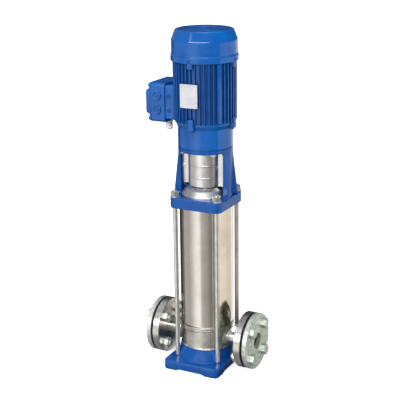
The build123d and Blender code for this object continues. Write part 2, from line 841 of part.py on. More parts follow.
def drive_end_shield():
    inner = end_shield_r - end_shield_wall
    edge = 1
    hub_top = bearing_low + bearing_width
    lip = housing_bore + 1
    body = turned((motor_shaft_r + 2, seam), (seam_spigot_r, seam), (end_shield_r - edge, seam),
                  (end_shield_r, seam + edge), (end_shield_r, shield_top - 14),
                  (housing_r, shield_top - 4), (housing_r, shield_top), (lip - 4, shield_top),
                  (inner, shield_top - 12), (inner, bearing_low),
                  (bearing_r + 7, bearing_low), (bearing_r + 7, hub_top), (bearing_r + fit, hub_top),
                  (bearing_r + fit, bearing_low), (motor_shaft_r + 2, bearing_low))
    body += tube(seam_spigot_r, motor_shaft_r + 2, seam - seam_spigot, seam + 1)
    body += around(lug(shield_top - lug_height, shield_top), 4)
    for piece in around(Pos(motor_flange_pcd / 2, 0, 0) * rod(flange_bolt_r + fit, seam - 1,
                                                              seam + flange_bolt_reach + 0.5), 4, 45):
        body -= piece
    body -= lug_screw_holes(soft_fit, shield_top - 30, shield_top + 1)
    return body


def motor_flange_bolts():
    low = seam - top_plate
    bolt = rod(flange_bolt_r, low, seam + flange_bolt_reach)
    bolt += Rot(180, 0, 0) * hexagon(flange_bolt_af, -low, -low + flange_bolt_head)
    return group(around(Pos(motor_flange_pcd / 2, 0, 0) * bolt, 4, 45))


def fin_angles():
    """Fins of one quarter, counted from the front: a rail takes the place of one."""
    near = [i * fin_pitch for i in range(fins_to_rail + 1)]
    far = [90 - i * fin_pitch for i in range(4)]
    return near + far


def stator_housing():
    low = shield_top
    high = motor_top
    body = tube(housing_r, housing_bore, low, high)
    root = fin_thick * 0.75
    tip = fin_thick / 2
    outline = Polyline((housing_r - 1, -root), (fin_r - 0.6, -tip), (fin_r, -tip + 0.8),
                       (fin_r, tip - 0.8), (fin_r - 0.6, tip), (housing_r - 1, root), close=True)
    fin = Pos(0, 0, low) * extrude(make_face(outline), high - low)
    rail = block(housing_r - 2, fin_r, -rail_width / 2, rail_width / 2, low, high)
    angles = fin_angles()
    turns = sorted({round((quarter + side * angle) % 360, 3)
                    for quarter in (0, 180) for side in (-1, 1) for angle in angles})
    body += [Rot(0, 0, turn - 90) * fin for turn in turns]
    rails = [quarter + side * rail_angle - 90 for quarter in (0, 180) for side in (-1, 1)]
    body += [Rot(0, 0, turn) * rail for turn in rails]
    body += around(lug(low, low + lug_height), 4)
    body += around(lug(high - lug_height, high), 4)
    half = box_y / 2 - saddle_inset
    saddle = block(-box_back, -housing_bore / 2 - 20, -half, half, box_floor + 8, box_floor + box_height - 4)
    body += saddle - rod(housing_r - 1, low - 1, high + 1) - rod(200, low - 50, low + 2)
    wire_way = block(-box_back - 1, -20, -16, 16, box_middle - 16, box_middle + 16)
    for x, z in rivet_places():
        body += Pos(x, -plate_y + 10, z) * along_front(Cylinder(3.2, 20))
    body -= rod(housing_bore, low - 1, high + 1)
    body -= wire_way & rod(500, low, high)
    for x, z in rivet_places():
        body -= Pos(x, -plate_y, z) * along_front(rod(rivet_r + fit, -5, 5))
    body -= lug_screw_holes(fit, low - 1, low + lug_screw_grip + 0.5)
    body -= lug_screw_holes(fit, high - lug_screw_grip - 0.5, high + 1)
    for z in earth_levels():
        body -= Pos(-earth_x(), -half, z) * along_front(rod(box_screw_r + fit, -8.5, 5))
    return body


def rivet_places():
    corners = four_corners(plate_width / 2 - rivet_inset, plate_height / 2 - rivet_inset)
    return [(plate_x + x, seam + plate_z + z) for x, z in corners]


def earth_x():
    return box_back - 9


def earth_levels():
    return (box_middle - 17, box_middle + 17)


def stator_core():
    middle = (shield_top + motor_top) / 2
    return tube(core_r, core_bore, middle - core_length / 2, middle + core_length / 2)


def stator_windings():
    """The rounded copper end turns above and below the core."""
    middle = (shield_top + motor_top) / 2
    face = core_length / 2
    inner = core_bore + 6
    outer = core_r - 7
    edge = 3
    ring = turned((inner, 0), (outer, 0), (outer, winding_height - edge), (outer - edge, winding_height),
                  (inner + edge, winding_height), (inner, winding_height - edge))
    return group([Pos(0, 0, middle + face) * ring, Pos(0, 0, middle - face) * Rot(180, 0, 0) * ring])


def fan_end_shield():
    """Upper end shield: a plate on the housing with the fan-side bearing in its hub."""
    top = motor_top + fan_shield
    hub_r = bearing_r + 6
    body = turned((motor_shaft_r + 2, top), (motor_shaft_r + 2, motor_top), (bearing_r + fit, motor_top),
                  (bearing_r + fit, fan_bearing_low), (hub_r, fan_bearing_low), (hub_r, motor_top),
                  (cover_lip_r - cover_wall - soft_fit, motor_top),
                  (cover_lip_r - cover_wall - soft_fit, top - 1),
                  (cover_lip_r - cover_wall - soft_fit - 1, top))
    body += tube(housing_bore - fit, housing_bore - 5, motor_top - 4, motor_top + 1)
    body -= lug_screw_holes(soft_fit, motor_top - 1, top + 1)
    for piece in cover_screw_holes(cover_screw_r + fit):
        body -= piece
    return body


def end_shield_screws():
    head = lug_screw_head
    upward = hexagon(lug_screw_af, -head, 0) + rod(lug_screw_thread_r, 0, lug_height + lug_screw_grip)
    lower = Pos(lug_screw_r, 0, shield_top - lug_height) * upward
    downward = hexagon(lug_screw_af, 0, head)
    downward += rod(lug_screw_thread_r, -fan_shield - lug_screw_grip, 0)
    upper = Pos(lug_screw_r, 0, motor_top + fan_shield) * downward
    return group(around(lower, 4) + around(upper, 4))


def cover_screw_level():
    return motor_top + fan_shield / 2


def cover_screw_holes(radius):
    """Radial holes through the lip of the fan cover, into the rim of the end shield."""
    depth = cover_screw_length + 0.3
    hole = Pos(0, 0, cover_screw_level()) * along_x(rod(radius, cover_lip_r - depth, cover_lip_r + 5))
    return around(hole, 4)


def fan_cover():
    """Pressed cover with a stepped lip, a chamfered shoulder and a slotted top."""
    low = motor_top
    step = low + cover_lip
    shoulder = low + cover_shoulder
    top = low + cover_height
    w = cover_wall
    e = cover_edge
    body = turned((cover_lip_r - w, low), (cover_lip_r, low), (cover_lip_r, step - 3), (cover_r, step),
                  (cover_r, shoulder - e), (cover_r - 0.9, shoulder), (cover_top_r + 1.2, top - e),
                  (cover_top_r - 1.0, top - 0.7), (cover_top_r - e, top), (0, top),
                  (0, top - w), (cover_top_r - e, top - w), (cover_top_r - w, top - e - 0.5),
                  (cover_r - w - 0.9, shoulder - 0.6), (cover_r - w, shoulder - e), (cover_r - w, step),
                  (cover_lip_r - w, step - 3))
    bridge = Pos(0, 0, top) * Box(grille_bridge, 3 * cover_top_r, cover_height / 3)
    bridges = Rot(0, 0, 30) * bridge + Rot(0, 0, 90) * bridge + Rot(0, 0, 150) * bridge
    for i in range(grille_rings):
        r = cover_top_r - 12 - i * grille_pitch
        body -= tube(r, r - grille_slot, top - 5, top + 5) - bridges
    for piece in cover_screw_holes(cover_screw_r + 0.4):
        body -= piece
    return body


def fan_cover_screws():
    piece = screw(cover_screw_r, cover_screw_length, cover_screw_head_r, cover_screw_head)
    piece = along_x(Pos(0, 0, cover_lip_r) * piece)
    return group(around(Pos(0, 0, cover_screw_level()) * piece, 4))


def cooling_fan():
    low = motor_top + fan_shield + 6
    disc = tube(fan_r, fan_hub_r - 1, low, low + 2.5)
    hub = tube(fan_hub_r, motor_shaft_r + fit, low, low + fan_blade_height)
    blade = block(fan_hub_r - 1, fan_r, -1.2, 1.2, low + 1, low + fan_blade_height)
    return disc + hub + around(blade, fan_blades)


def motor_shaft():
    fan_low = motor_top + fan_shield + 6
    top = fan_low + fan_blade_height + 3
    return turned((0, motor_shaft_low), (motor_shaft_r - 1, motor_shaft_low),
                  (motor_shaft_r, motor_shaft_low + 1), (motor_shaft_r, bearing_low),
                  (bearing_bore, bearing_low), (bearing_bore, bearing_low + bearing_width),
                  (bearing_bore + 3, bearing_low + bearing_width), (bearing_bore + 3, fan_bearing_low),
                  (bearing_bore, fan_bearing_low), (bearing_bore, motor_top), (motor_shaft_r, motor_top),
                  (motor_shaft_r, top - 1), (motor_shaft_r - 1, top), (0, top))


def rotor_core():
    middle = (shield_top + motor_top) / 2
    return tube(rotor_r, bearing_bore + 3 + fit, middle - rotor_length / 2, middle + rotor_length / 2)


def at_bearings(piece):
    return group([Pos(0, 0, bearing_low) * piece, Pos(0, 0, fan_bearing_low) * piece])


def bearing_outer_ring():
    return tube(bearing_r, bearing_r - bearing_ring, 0, bearing_width)


def bearing_inner_ring():
    return tube(bearing_bore + fit + bearing_ring, bearing_bore + fit, 0, bearing_width)


def bearing_ball_set():
    inner = bearing_bore + fit + bearing_ring
    outer = bearing_r - bearing_ring
    ball_r = (outer - inner) / 2 - run_fit
    ball = Pos((outer + inner) / 2, 0, bearing_width / 2) * Sphere(ball_r)
    return [Pos(0, 0, level) * one for level in (bearing_low, fan_bearing_low)
            for one in around(ball, bearing_balls)]


# ---------------------------------------------------------------- terminal box, drawn facing up
def box_frame(piece):
    """Put a piece drawn with its face up onto the -X side of the motor."""
    return Pos(-box_back, 0, box_middle) * Rot(0, -90, 0) * piece


def lid_screw_places():
    return four_corners(box_height / 2 - 7, box_y / 2 - 7)


def terminal_box():
    half_z = box_height / 2
    half_y = box_y / 2
    body = rounded_block(-half_z, half_z, -half_y, half_y, 0, box_depth, box_corner)
    body = fillet(body.edges().group_by(Axis.Z)[0], 2)
    inside = rounded_block(-half_z + box_wall, half_z - box_wall, -half_y + box_wall,
                           half_y - box_wall, box_wall, box_depth + 1, box_corner - box_wall + 1)
    for x, y in lid_screw_places():
        inside -= Pos(x, y, 0) * rod(6, 0, box_depth + 1)
    body -= inside
    body -= block(-12, 12, -12, 12, -1, box_wall + 1)
    for x, y in lid_screw_places():
        body -= Pos(x, y, 0) * rod(box_screw_r + fit, box_depth - 15, box_depth + 1)
    body = box_frame(body)
    for x, y, z in entry_places():
        body -= Pos(x, y, z) * along_front(Cylinder(entry_r + fit, 30))
    return body - Pos(*gland_place()) * Cylinder(gland_r + fit, 30)


def entry_places():
    """Cable entries on the front wall of the box."""
    x = -box_back - box_depth * 0.58
    return [(x, -box_y / 2, box_middle + side * entry_pitch / 2) for side in (-1, 1)]


def gland_place():
    """The cable entry in the floor of the box."""
    return (-box_back - box_depth * 0.42, 0, box_floor)


def terminal_box_lid():
    half_z = box_height / 2
    half_y = box_y / 2
    body = rounded_block(-half_z, half_z, -half_y, half_y, box_depth, box_depth + lid_border, box_corner)
    body = chamfer(body.edges().group_by(Axis.Z)[-1], 2.5)
    raised = rounded_block(-lid_raised_z / 2, lid_raised_z / 2, -lid_raised_y / 2, lid_raised_y / 2,
                           box_depth + lid_border - 1, box_depth + lid_border + lid_rise, box_corner)
    raised = chamfer(raised.edges().group_by(Axis.Z)[-1], 4)
    inner_z = lid_raised_z / 2 - 6
    inner_y = lid_raised_y / 2 - 6
    hollow = rounded_block(-inner_z, inner_z, -inner_y, inner_y, box_depth - 1,
                           box_depth + lid_border + lid_rise - lid_wall, 4)
    body = body + raised - hollow
    for x, y in lid_screw_places():
        body -= Pos(x, y, 0) * rod(box_screw_r + 0.4, box_depth - 1, box_depth + lid_border + 1)
    return box_frame(body)


def terminal_box_screws():
    """Four lid screws, and two earth screws in the side of the saddle."""
    lid_screw = screw(box_screw_r, lid_border + 12, box_screw_head_r, box_screw_head)
    screws = [box_frame(Pos(x, y, box_depth + lid_border) * lid_screw) for x, y in lid_screw_places()]
    earth = along_front(screw(box_screw_r, 8, 5, box_screw_head))
    screws += [Pos(-earth_x(), -box_y / 2 + saddle_inset, z) * earth for z in earth_levels()]
    return group(screws)


def stud_places():
    return [(x, y) for x in (-9, 9) for y in (-18, 0, 18)]


def terminal_board():
    board = block(-20, 20, -30, 30, box_wall, box_wall + 9)
    board -= block(-1.5, 1.5, -31, 31, box_wall + 6, box_wall + 10)
    for x, y in stud_places():
        board -= Pos(x, y, 0) * rod(2.5 + fit, box_wall + 1.5, box_wall + 10)
    return box_frame(board)


def terminal_studs():
    low = box_wall + 2
    deck = box_wall + 9
    stud = rod(2.5, low, deck + 12) + hexagon(8, deck, deck + 4)
    return group([box_frame(Pos(x, y, 0) * stud) for x, y in stud_places()])


def cable_gland():
    """Gland with its hexagon body against the box and a ribbed dome nut below."""
    neck = 9
    body = turned((4, box_wall + 6), (gland_r, box_wall + 6), (gland_r, 0), (gland_r, -neck),
                  (gland_nut_r - 0.8, -neck), (gland_nut_r, -neck - 1), (gland_nut_r, 4 - gland_height),
                  (gland_nut_r - 3, -gland_height), (4, -gland_height))
    body += hexagon(gland_af, -neck + 1.5, 0, crown=False) - rod(6, -20, 20)
    return Pos(*gland_place()) * body


def entry_plugs():
    """Blanking plugs: a dished round head on a short thread."""
    plug = turned((0, -box_wall - 3), (entry_r, -box_wall - 3), (entry_r, 0), (entry_head_r, 0),
                  (entry_head_r, entry_head - 1), (entry_head_r - 1, entry_head),
                  (entry_r - 1, entry_head), (entry_r - 2.5, entry_head - 1.5), (0, entry_head - 1.5))
    return group([Pos(x, y, z) * along_front(plug) for x, y, z in entry_places()])


# ---------------------------------------------------------------- nameplate
def nameplate():
    middle = seam + plate_z
    outline = RectangleRounded(plate_width, plate_height, 2)
    sheet = Pos(plate_x, -plate_y, middle) * along_front(extrude(outline, plate_thick))
    for x, z in rivet_places():
        sheet -= Pos(x, -plate_y, z) * along_front(Cylinder(rivet_r + fit, 10))
    return sheet


def nameplate_rivets():
    head = 1.2
    rivet = turned((0, -4), (rivet_r, -4), (rivet_r, plate_thick), (rivet_r + 1.2, plate_thick),
                   (rivet_r + 0.6, plate_thick + head * 0.8), (0, plate_thick + head))
    return group([Pos(x, -plate_y, z) * along_front(rivet) for x, z in rivet_places()])


# ---------------------------------------------------------------- write every node
nodes = {
    "base": base(),
    "pump_body": pump_body(),
    "drain_plug": drain_plug(),
    "discharge_flange": loose_flange(),
    "suction_flange": Rot(0, 0, 180) * loose_flange(),
    "flange_gaskets": group(both_sides([gasket()])),
    "discharge_counter_flange": counter_flange(),
    "suction_counter_flange": Rot(0, 0, 180) * counter_flange(),
    "flange_bolts": group(both_sides(flange_bolts())),
    "flange_nuts": group(both_sides(flange_nuts())),
    "outer_sleeve": outer_sleeve(),
    "sleeve_o_rings": sleeve_o_rings(),
    "tie_rods": tie_rods(),
    "tie_rod_washers": tie_rod_washers(),
    "tie_rod_nuts": tie_rod_nuts(),
    "head_plate": head_plate(),
    "seal_housing": seal_housing(),
    "vent_plug": vent_plug(),
    "seal_seat": seal_seat(),
    "seal_face_ring": seal_face_ring(),
    "seal_bellows": seal_bellows(),
    "lantern": lantern(),
    "guard_front": guard_half(),
    "guard_back": Rot(0, 0, 180) * guard_half(),
    "guard_screws": guard_screws(),
    "coupling_halves": group([coupling_half(True), coupling_half(False)]),
    "coupling_screws": coupling_screws(),
    "suction_bowl": suction_bowl(),
    "stage_bowls": up_the_stack(stage_bowl()),
    "neck_rings": up_the_stack(neck_ring()),
    "discharge_bowl": discharge_bowl(),
    "guide_bushes": guide_bushes(),
    "impellers": up_the_stack(impeller()),
    "pump_shaft": pump_shaft(),
    "shaft_sleeves": shaft_sleeves(),
    "shaft_nuts": shaft_nuts(),
    "drive_end_shield": drive_end_shield(),
    "motor_flange_bolts": motor_flange_bolts(),
    "stator_housing": stator_housing(),
    "stator_core": stator_core(),
    "stator_windings": stator_windings(),
    "fan_end_shield": fan_end_shield(),
    "end_shield_screws": end_shield_screws(),
    "fan_cover": fan_cover(),
    "fan_cover_screws": fan_cover_screws(),
    "cooling_fan": cooling_fan(),
    "motor_shaft": motor_shaft(),
    "rotor_core": rotor_core(),
    "bearing_outer_rings": at_bearings(bearing_outer_ring()),
    "bearing_inner_rings": at_bearings(bearing_inner_ring()),
    "bearing_balls": group(bearing_ball_set()),
    "terminal_box": terminal_box(),
    "terminal_box_lid": terminal_box_lid(),
    "terminal_box_screws": terminal_box_screws(),
    "terminal_board": terminal_board(),
    "terminal_studs": terminal_studs(),
    "cable_gland": cable_gland(),
    "entry_plugs": entry_plugs(),
    "nameplate": nameplate(),
    "nameplate_rivets": nameplate_rivets(),
}

for node, piece in nodes.items():
    save(node, piece)
print(f"{len(nodes)} nodes, {stages} stages, overall height {motor_top + cover_height} mm")
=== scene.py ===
import json

import bpy
import numpy as np
from mathutils import Matrix, Vector


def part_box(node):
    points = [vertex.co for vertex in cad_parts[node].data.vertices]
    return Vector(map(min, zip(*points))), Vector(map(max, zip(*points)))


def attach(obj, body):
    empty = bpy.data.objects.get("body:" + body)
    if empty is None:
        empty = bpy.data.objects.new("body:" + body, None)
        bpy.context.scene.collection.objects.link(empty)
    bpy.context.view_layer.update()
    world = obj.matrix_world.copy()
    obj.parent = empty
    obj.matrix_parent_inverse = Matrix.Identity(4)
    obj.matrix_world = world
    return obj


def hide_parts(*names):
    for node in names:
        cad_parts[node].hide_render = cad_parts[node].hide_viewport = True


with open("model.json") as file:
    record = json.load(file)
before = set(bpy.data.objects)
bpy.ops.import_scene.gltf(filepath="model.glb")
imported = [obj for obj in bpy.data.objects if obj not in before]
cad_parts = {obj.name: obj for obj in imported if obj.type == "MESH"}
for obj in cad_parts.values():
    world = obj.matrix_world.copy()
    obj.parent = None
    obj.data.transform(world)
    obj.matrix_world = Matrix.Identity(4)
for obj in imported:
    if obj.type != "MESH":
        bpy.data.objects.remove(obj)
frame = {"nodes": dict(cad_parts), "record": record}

bl_info = {
    "name": "Vertical multistage pump",
    "version": (1, 0, 0),
    "blender": (4, 5, 0),
    "location": "3D View > Sidebar > Pump",
    "description": "Dresses a flanged vertical multistage pump with castings, sheets and fasteners",
    "category": "Object",
}

# Lengths are in mm unless a name or comment says otherwise.
MM = 0.001


# ---------------------------------------------------------------- places taken from the frame
def low(node, axis):
    """Lowest coordinate of a node along an axis, in mm."""
    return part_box(node)[0][axis] / MM


def high(node, axis):
    """Highest coordinate of a node along an axis, in mm."""
    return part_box(node)[1][axis] / MM


def middle(node, axis):
    """Middle of a node along an axis, in mm."""
    return (low(node, axis) + high(node, axis)) / 2


X, Y, Z = 0, 1, 2
BASE_HALF_X = 75.0
BASE_HALF_Y = high("base", Y)
SEAT = high("base", Z)
RING_R = high("head_plate", X)
SLEEVE_R = high("outer_sleeve", X)
SLEEVE_LOW = low("outer_sleeve", Z)
SLEEVE_TOP = high("outer_sleeve", Z)
DECK = low("tie_rod_washers", Z)
LANTERN_LOW = low("lantern", Z)
SEAM = high("lantern", Z)
SHIELD_TOP = low("stator_housing", Z)
MOTOR_TOP = high("stator_housing", Z)
COVER_TOP = high("fan_cover", Z)
COVER_LIP_R = high("fan_cover", X)
LUG_R = high("drive_end_shield", X)
BOX_BACK = -high("terminal_box", X)
BOX_FRONT = -low("terminal_box", X)
BOX_LOW = low("terminal_box", Z)
BOX_TOP = high("terminal_box", Z)
BOX_HALF_Y = high("terminal_box", Y)
LID_FACE = -low("terminal_box_lid", X)
PORT_Z = middle("discharge_flange", Z)
COUNTER_FACE = high("discharge_counter_flange", X)
FLANGE_BACK = low("discharge_flange", X)
WASHER_R = 12.0
ROD_PLACE = high("tie_rod_washers", X) - WASHER_R
ROD_PLACES = [(x * ROD_PLACE, y * ROD_PLACE, 0) for x in (-1, 1) for y in (-1, 1)]


# ---------------------------------------------------------------- user settings
def linear(code):
    """Linear RGBA of an sRGB hex colour: ((c + 0.055) / 1.055) ** 2.4 above the short straight part."""
    c = np.array([int(code[i:i + 2], 16) for i in (0, 2, 4)]) / 255
    c = np.where(c <= 0.04045, c / 12.92, ((c + 0.055) / 1.055) ** 2.4)
    return (*c.tolist(), 1.0)


def length(name, text, value, highest):
    """Length setting, written in mm and kept in metres."""
    return bpy.props.FloatProperty(name=name, description=text, default=value * MM, min=0.0,
                                   max=highest * MM, precision=4, subtype="DISTANCE", unit="LENGTH")


def hue(name, text, code):
    """Colour setting, written as sRGB hex and kept linear."""
    return bpy.props.FloatVectorProperty(name=name, description=text, default=linear(code), size=4,
                                         min=0.0, max=1.0, subtype="COLOR")


def power(name, text, value):
    """Power setting of a light in watts."""
    return bpy.props.FloatProperty(name=name, description=text, default=value, min=0.0, unit="POWER")


class PumpShapes(bpy.types.PropertyGroup):
    cast_edge: length("Cast edge", "Rounding of the cast iron edges", 2.5, 6)
    sheet: length("Sheet thickness", "Thickness of the coupling guard's sheet", 1.0, 3)
    guard_bend: length("Guard bend", "Inside radius of the guard's bends", 1.5, 6)
    fin_height: length("Fin height", "Height of the cooling fins", 5.5, 8)
    fin_thick: length("Fin thickness", "Thickness of a cooling fin", 3.4, 5)
    fin_pitch: bpy.props.FloatProperty(name="Fin pitch", description="Angle between two cooling fins",
                                       default=np.radians(8.5), min=np.radians(6), max=np.radians(20),
                                       subtype="ANGLE", unit="ROTATION")
    grille_slot: length("Grille slot", "Width of the air slots in the fan cover", 3.2, 8)
    grille_bridge: length("Grille bridge", "Width of the bridges across the air slots", 10.0, 14)


class PumpColours(bpy.types.PropertyGroup):
    enamel: hue("Enamel", "Paint on the motor", "0b5197")
    cast_enamel: hue("Cast iron enamel", "Thicker paint on the iron castings", "09478b")
    enamel_deep: hue("Deep enamel", "Paint where it lies thick", "073c7e")
    stainless: hue("Stainless steel", "Polished stainless steel", "d6d0c8")
    cast_stainless: hue("Cast stainless steel", "Blasted stainless castings", "d4d0c8")
    zinc: hue("Zinc plating", "Zinc-plated flanges and fasteners", "d2dad2")
    plate: hue("Nameplate", "Lacquered aluminium plate", "bebec1")
    gland: hue("Cable gland", "Light grey polyamide", "e8eae8")
    floor: hue("Floor", "Pale studio floor", "f4f4f4")


class PumpStudio(bpy.types.PropertyGroup):
    lens: bpy.props.FloatProperty(name="Lens", description="Focal length of the camera", default=93.855,
                                  min=1.0, unit="CAMERA")
    key: power("Key light", "Power of the large softbox", 18.5)
    fill: power("Fill light", "Power of the fill softbox", 2.5)
    side: power("Side light", "Power of the softbox beside the motor", 10.0)
    top: power("Top light", "Power of the softbox overhead", 20.0)
    sky: bpy.props.FloatProperty(name="Room light", description="Strength of the room's even light",
                                 default=1.0, min=0.0)


def in_mm(value):
    """A length setting in mm."""
    return value / MM


# ---------------------------------------------------------------- nodes
def plug(tree, socket, value):
    """Give an input a value, or link it to the socket that feeds it."""
    if isinstance(value, bpy.types.NodeSocket):
        tree.links.new(value, socket)
    else:
        socket.default_value = value


def add(tree, kind, links=None, **settings):
    """Add one node: settings are its attributes, links are values or sockets for its inputs."""
    node = tree.nodes.new(kind)
    for name, value in settings.items():
        setattr(node, name, value)
    for name, value in (links or {}).items():
        plug(tree, node.inputs[name], value)
    return node


def mixed(tree, factor, first, second):
    """Colour between two colours or sockets."""
    node = add(tree, "ShaderNodeMix", data_type="RGBA")
    for place, value in ((0, factor), (6, first), (7, second)):
        plug(tree, node.inputs[place], value)
    return node.outputs[2]


def ramp(tree, factor, lowest, highest, out_low, out_high):
    """Map a value from one range to another."""
    return add(tree, "ShaderNodeMapRange", {"Value": factor, "From Min": lowest, "From Max": highest,
                                            "To Min": out_low, "To Max": out_high}).outputs[0]


def grain(tree, place, size_mm, detail=3.0, stretch=(1, 1, 1)):
    """Noise whose grains are size_mm wide, stretched along the axes by the given factors."""
    scaled = add(tree, "ShaderNodeMapping", {"Vector": place, "Scale": [1 / s for s in stretch]})
    return add(tree, "ShaderNodeTexNoise", {"Vector": scaled.outputs[0], "Scale": 1 / (size_mm * MM),
                                            "Detail": detail, "Roughness": 0.55}).outputs[0]


def bump(tree, height, depth_mm, strength, normal):
    """Normal tilted by a pattern that is depth_mm deep."""
    return add(tree, "ShaderNodeBump", {"Height": height, "Distance": depth_mm * MM,
                                        "Strength": strength, "Normal": normal}).outputs[0]


def eased_edges(tree, radius_mm):
    """Normal that rounds every edge by a small radius."""
    return add(tree, "ShaderNodeBevel", {"Radius": radius_mm * MM}, samples=6).outputs[0]


def fresh(name):
    """Empty material with its output, and the place of each point on the object."""
    mat = bpy.data.materials.new(name)
    mat.use_nodes = True
    mat.node_tree.nodes.clear()
    place = add(mat.node_tree, "ShaderNodeTexCoord").outputs["Object"]
    return mat, mat.node_tree, place


def close(mat, tree, shader):
    """Join the shader to the material's output."""
    add(tree, "ShaderNodeOutputMaterial", {"Surface": shader.outputs[0]})
    return mat


# Reach in mm of the painted shade that darkens creases and hollows of the enamel.
PAINTED_SHADE_REACH = 9.0


def enamel(name, colour, deep, cast_mm, cast_height, edge_mm, coat):
    """Two-coat enamel: a gloss skin that follows the casting's sand grain, darker where it runs thick.

    Crevices that see less of their surroundings than an open face sink to the darkest tone, as painted
    shade.
    """
    mat, tree, place = fresh(name)
    soft = eased_edges(tree, edge_mm)
    blotch = grain(tree, place, 34, 2)
    sand = grain(tree, place, cast_mm, 4)
    peel = grain(tree, place, 1.6, 2)
    tone = mixed(tree, ramp(tree, blotch, 0.35, 0.7, 0, 0.55), colour, deep)
    # Painted shade: ambient occlusion darkens creases and hollows towards a dark navy.
    painted_shade_openness = add(tree, "ShaderNodeAmbientOcclusion", {"Distance": PAINTED_SHADE_REACH * MM}, samples=8,
                   only_local=True).outputs["AO"]
    tone = mixed(tree, ramp(tree, painted_shade_openness, 0.4, 0.95, 0.95, 0), tone, linear("05194a"))
    relief = bump(tree, peel, 0.02, 0.5, bump(tree, sand, cast_height, 0.35, soft))
    paint = add(tree, "ShaderNodeBsdfPrincipled",
                {"Base Color": tone, "Roughness": ramp(tree, sand, 0.3, 0.7, 0.3, 0.42), "IOR": 1.5,
                 "Specular IOR Level": 0.0, "Coat Weight": coat, "Coat Roughness": 0.04,
                 "Coat IOR": 1.5, "Normal": relief, "Coat Normal": relief})
    return close(mat, tree, paint)


def bare_metal(name, colour, shade, rough, stretch, line_mm, depth_mm, blotch_mm=30, edge_mm=0.4,
               matte=0.0):
    """Bare metal: a tint that drifts slowly, and fine lines left by rolling, turning or grinding."""
    mat, tree, place = fresh(name)
    soft = eased_edges(tree, edge_mm)
    drift = grain(tree, place, blotch_mm, 3)
    lines = grain(tree, place, line_mm, 4, stretch)
    tone = mixed(tree, ramp(tree, drift, 0.35, 0.68, 0, 1), colour, shade)
    relief = bump(tree, lines, depth_mm, 0.4, soft)
    metal = add(tree, "ShaderNodeBsdfPrincipled",
                {"Base Color": tone, "Metallic": 1 - matte,
                 "Roughness": ramp(tree, lines, 0.3, 0.7, rough * 0.85, rough * 1.2), "Normal": relief})
    return close(mat, tree, metal)


def moulded(name, colour, shade, rough, grain_mm, coat=0.0):
    """Moulded plastic or rubber: an even colour with the mould's fine spark-eroded grain."""
    mat, tree, place = fresh(name)
    soft = eased_edges(tree, 0.4)
    cloud = grain(tree, place, 18, 3)
    skin = grain(tree, place, grain_mm, 2)
    tone = mixed(tree, ramp(tree, cloud, 0.35, 0.7, 0, 1), colour, shade)
    relief = bump(tree, skin, 0.05, 0.4, soft)
    body = add(tree, "ShaderNodeBsdfPrincipled",
               {"Base Color": tone, "Roughness": ramp(tree, skin, 0.3, 0.7, rough * 0.9, rough * 1.15),
                "IOR": 1.5, "Coat Weight": coat, "Normal": relief})
    return close(mat, tree, body)


EVEN = (1, 1, 1)
AROUND = (1, 1, 0.02)


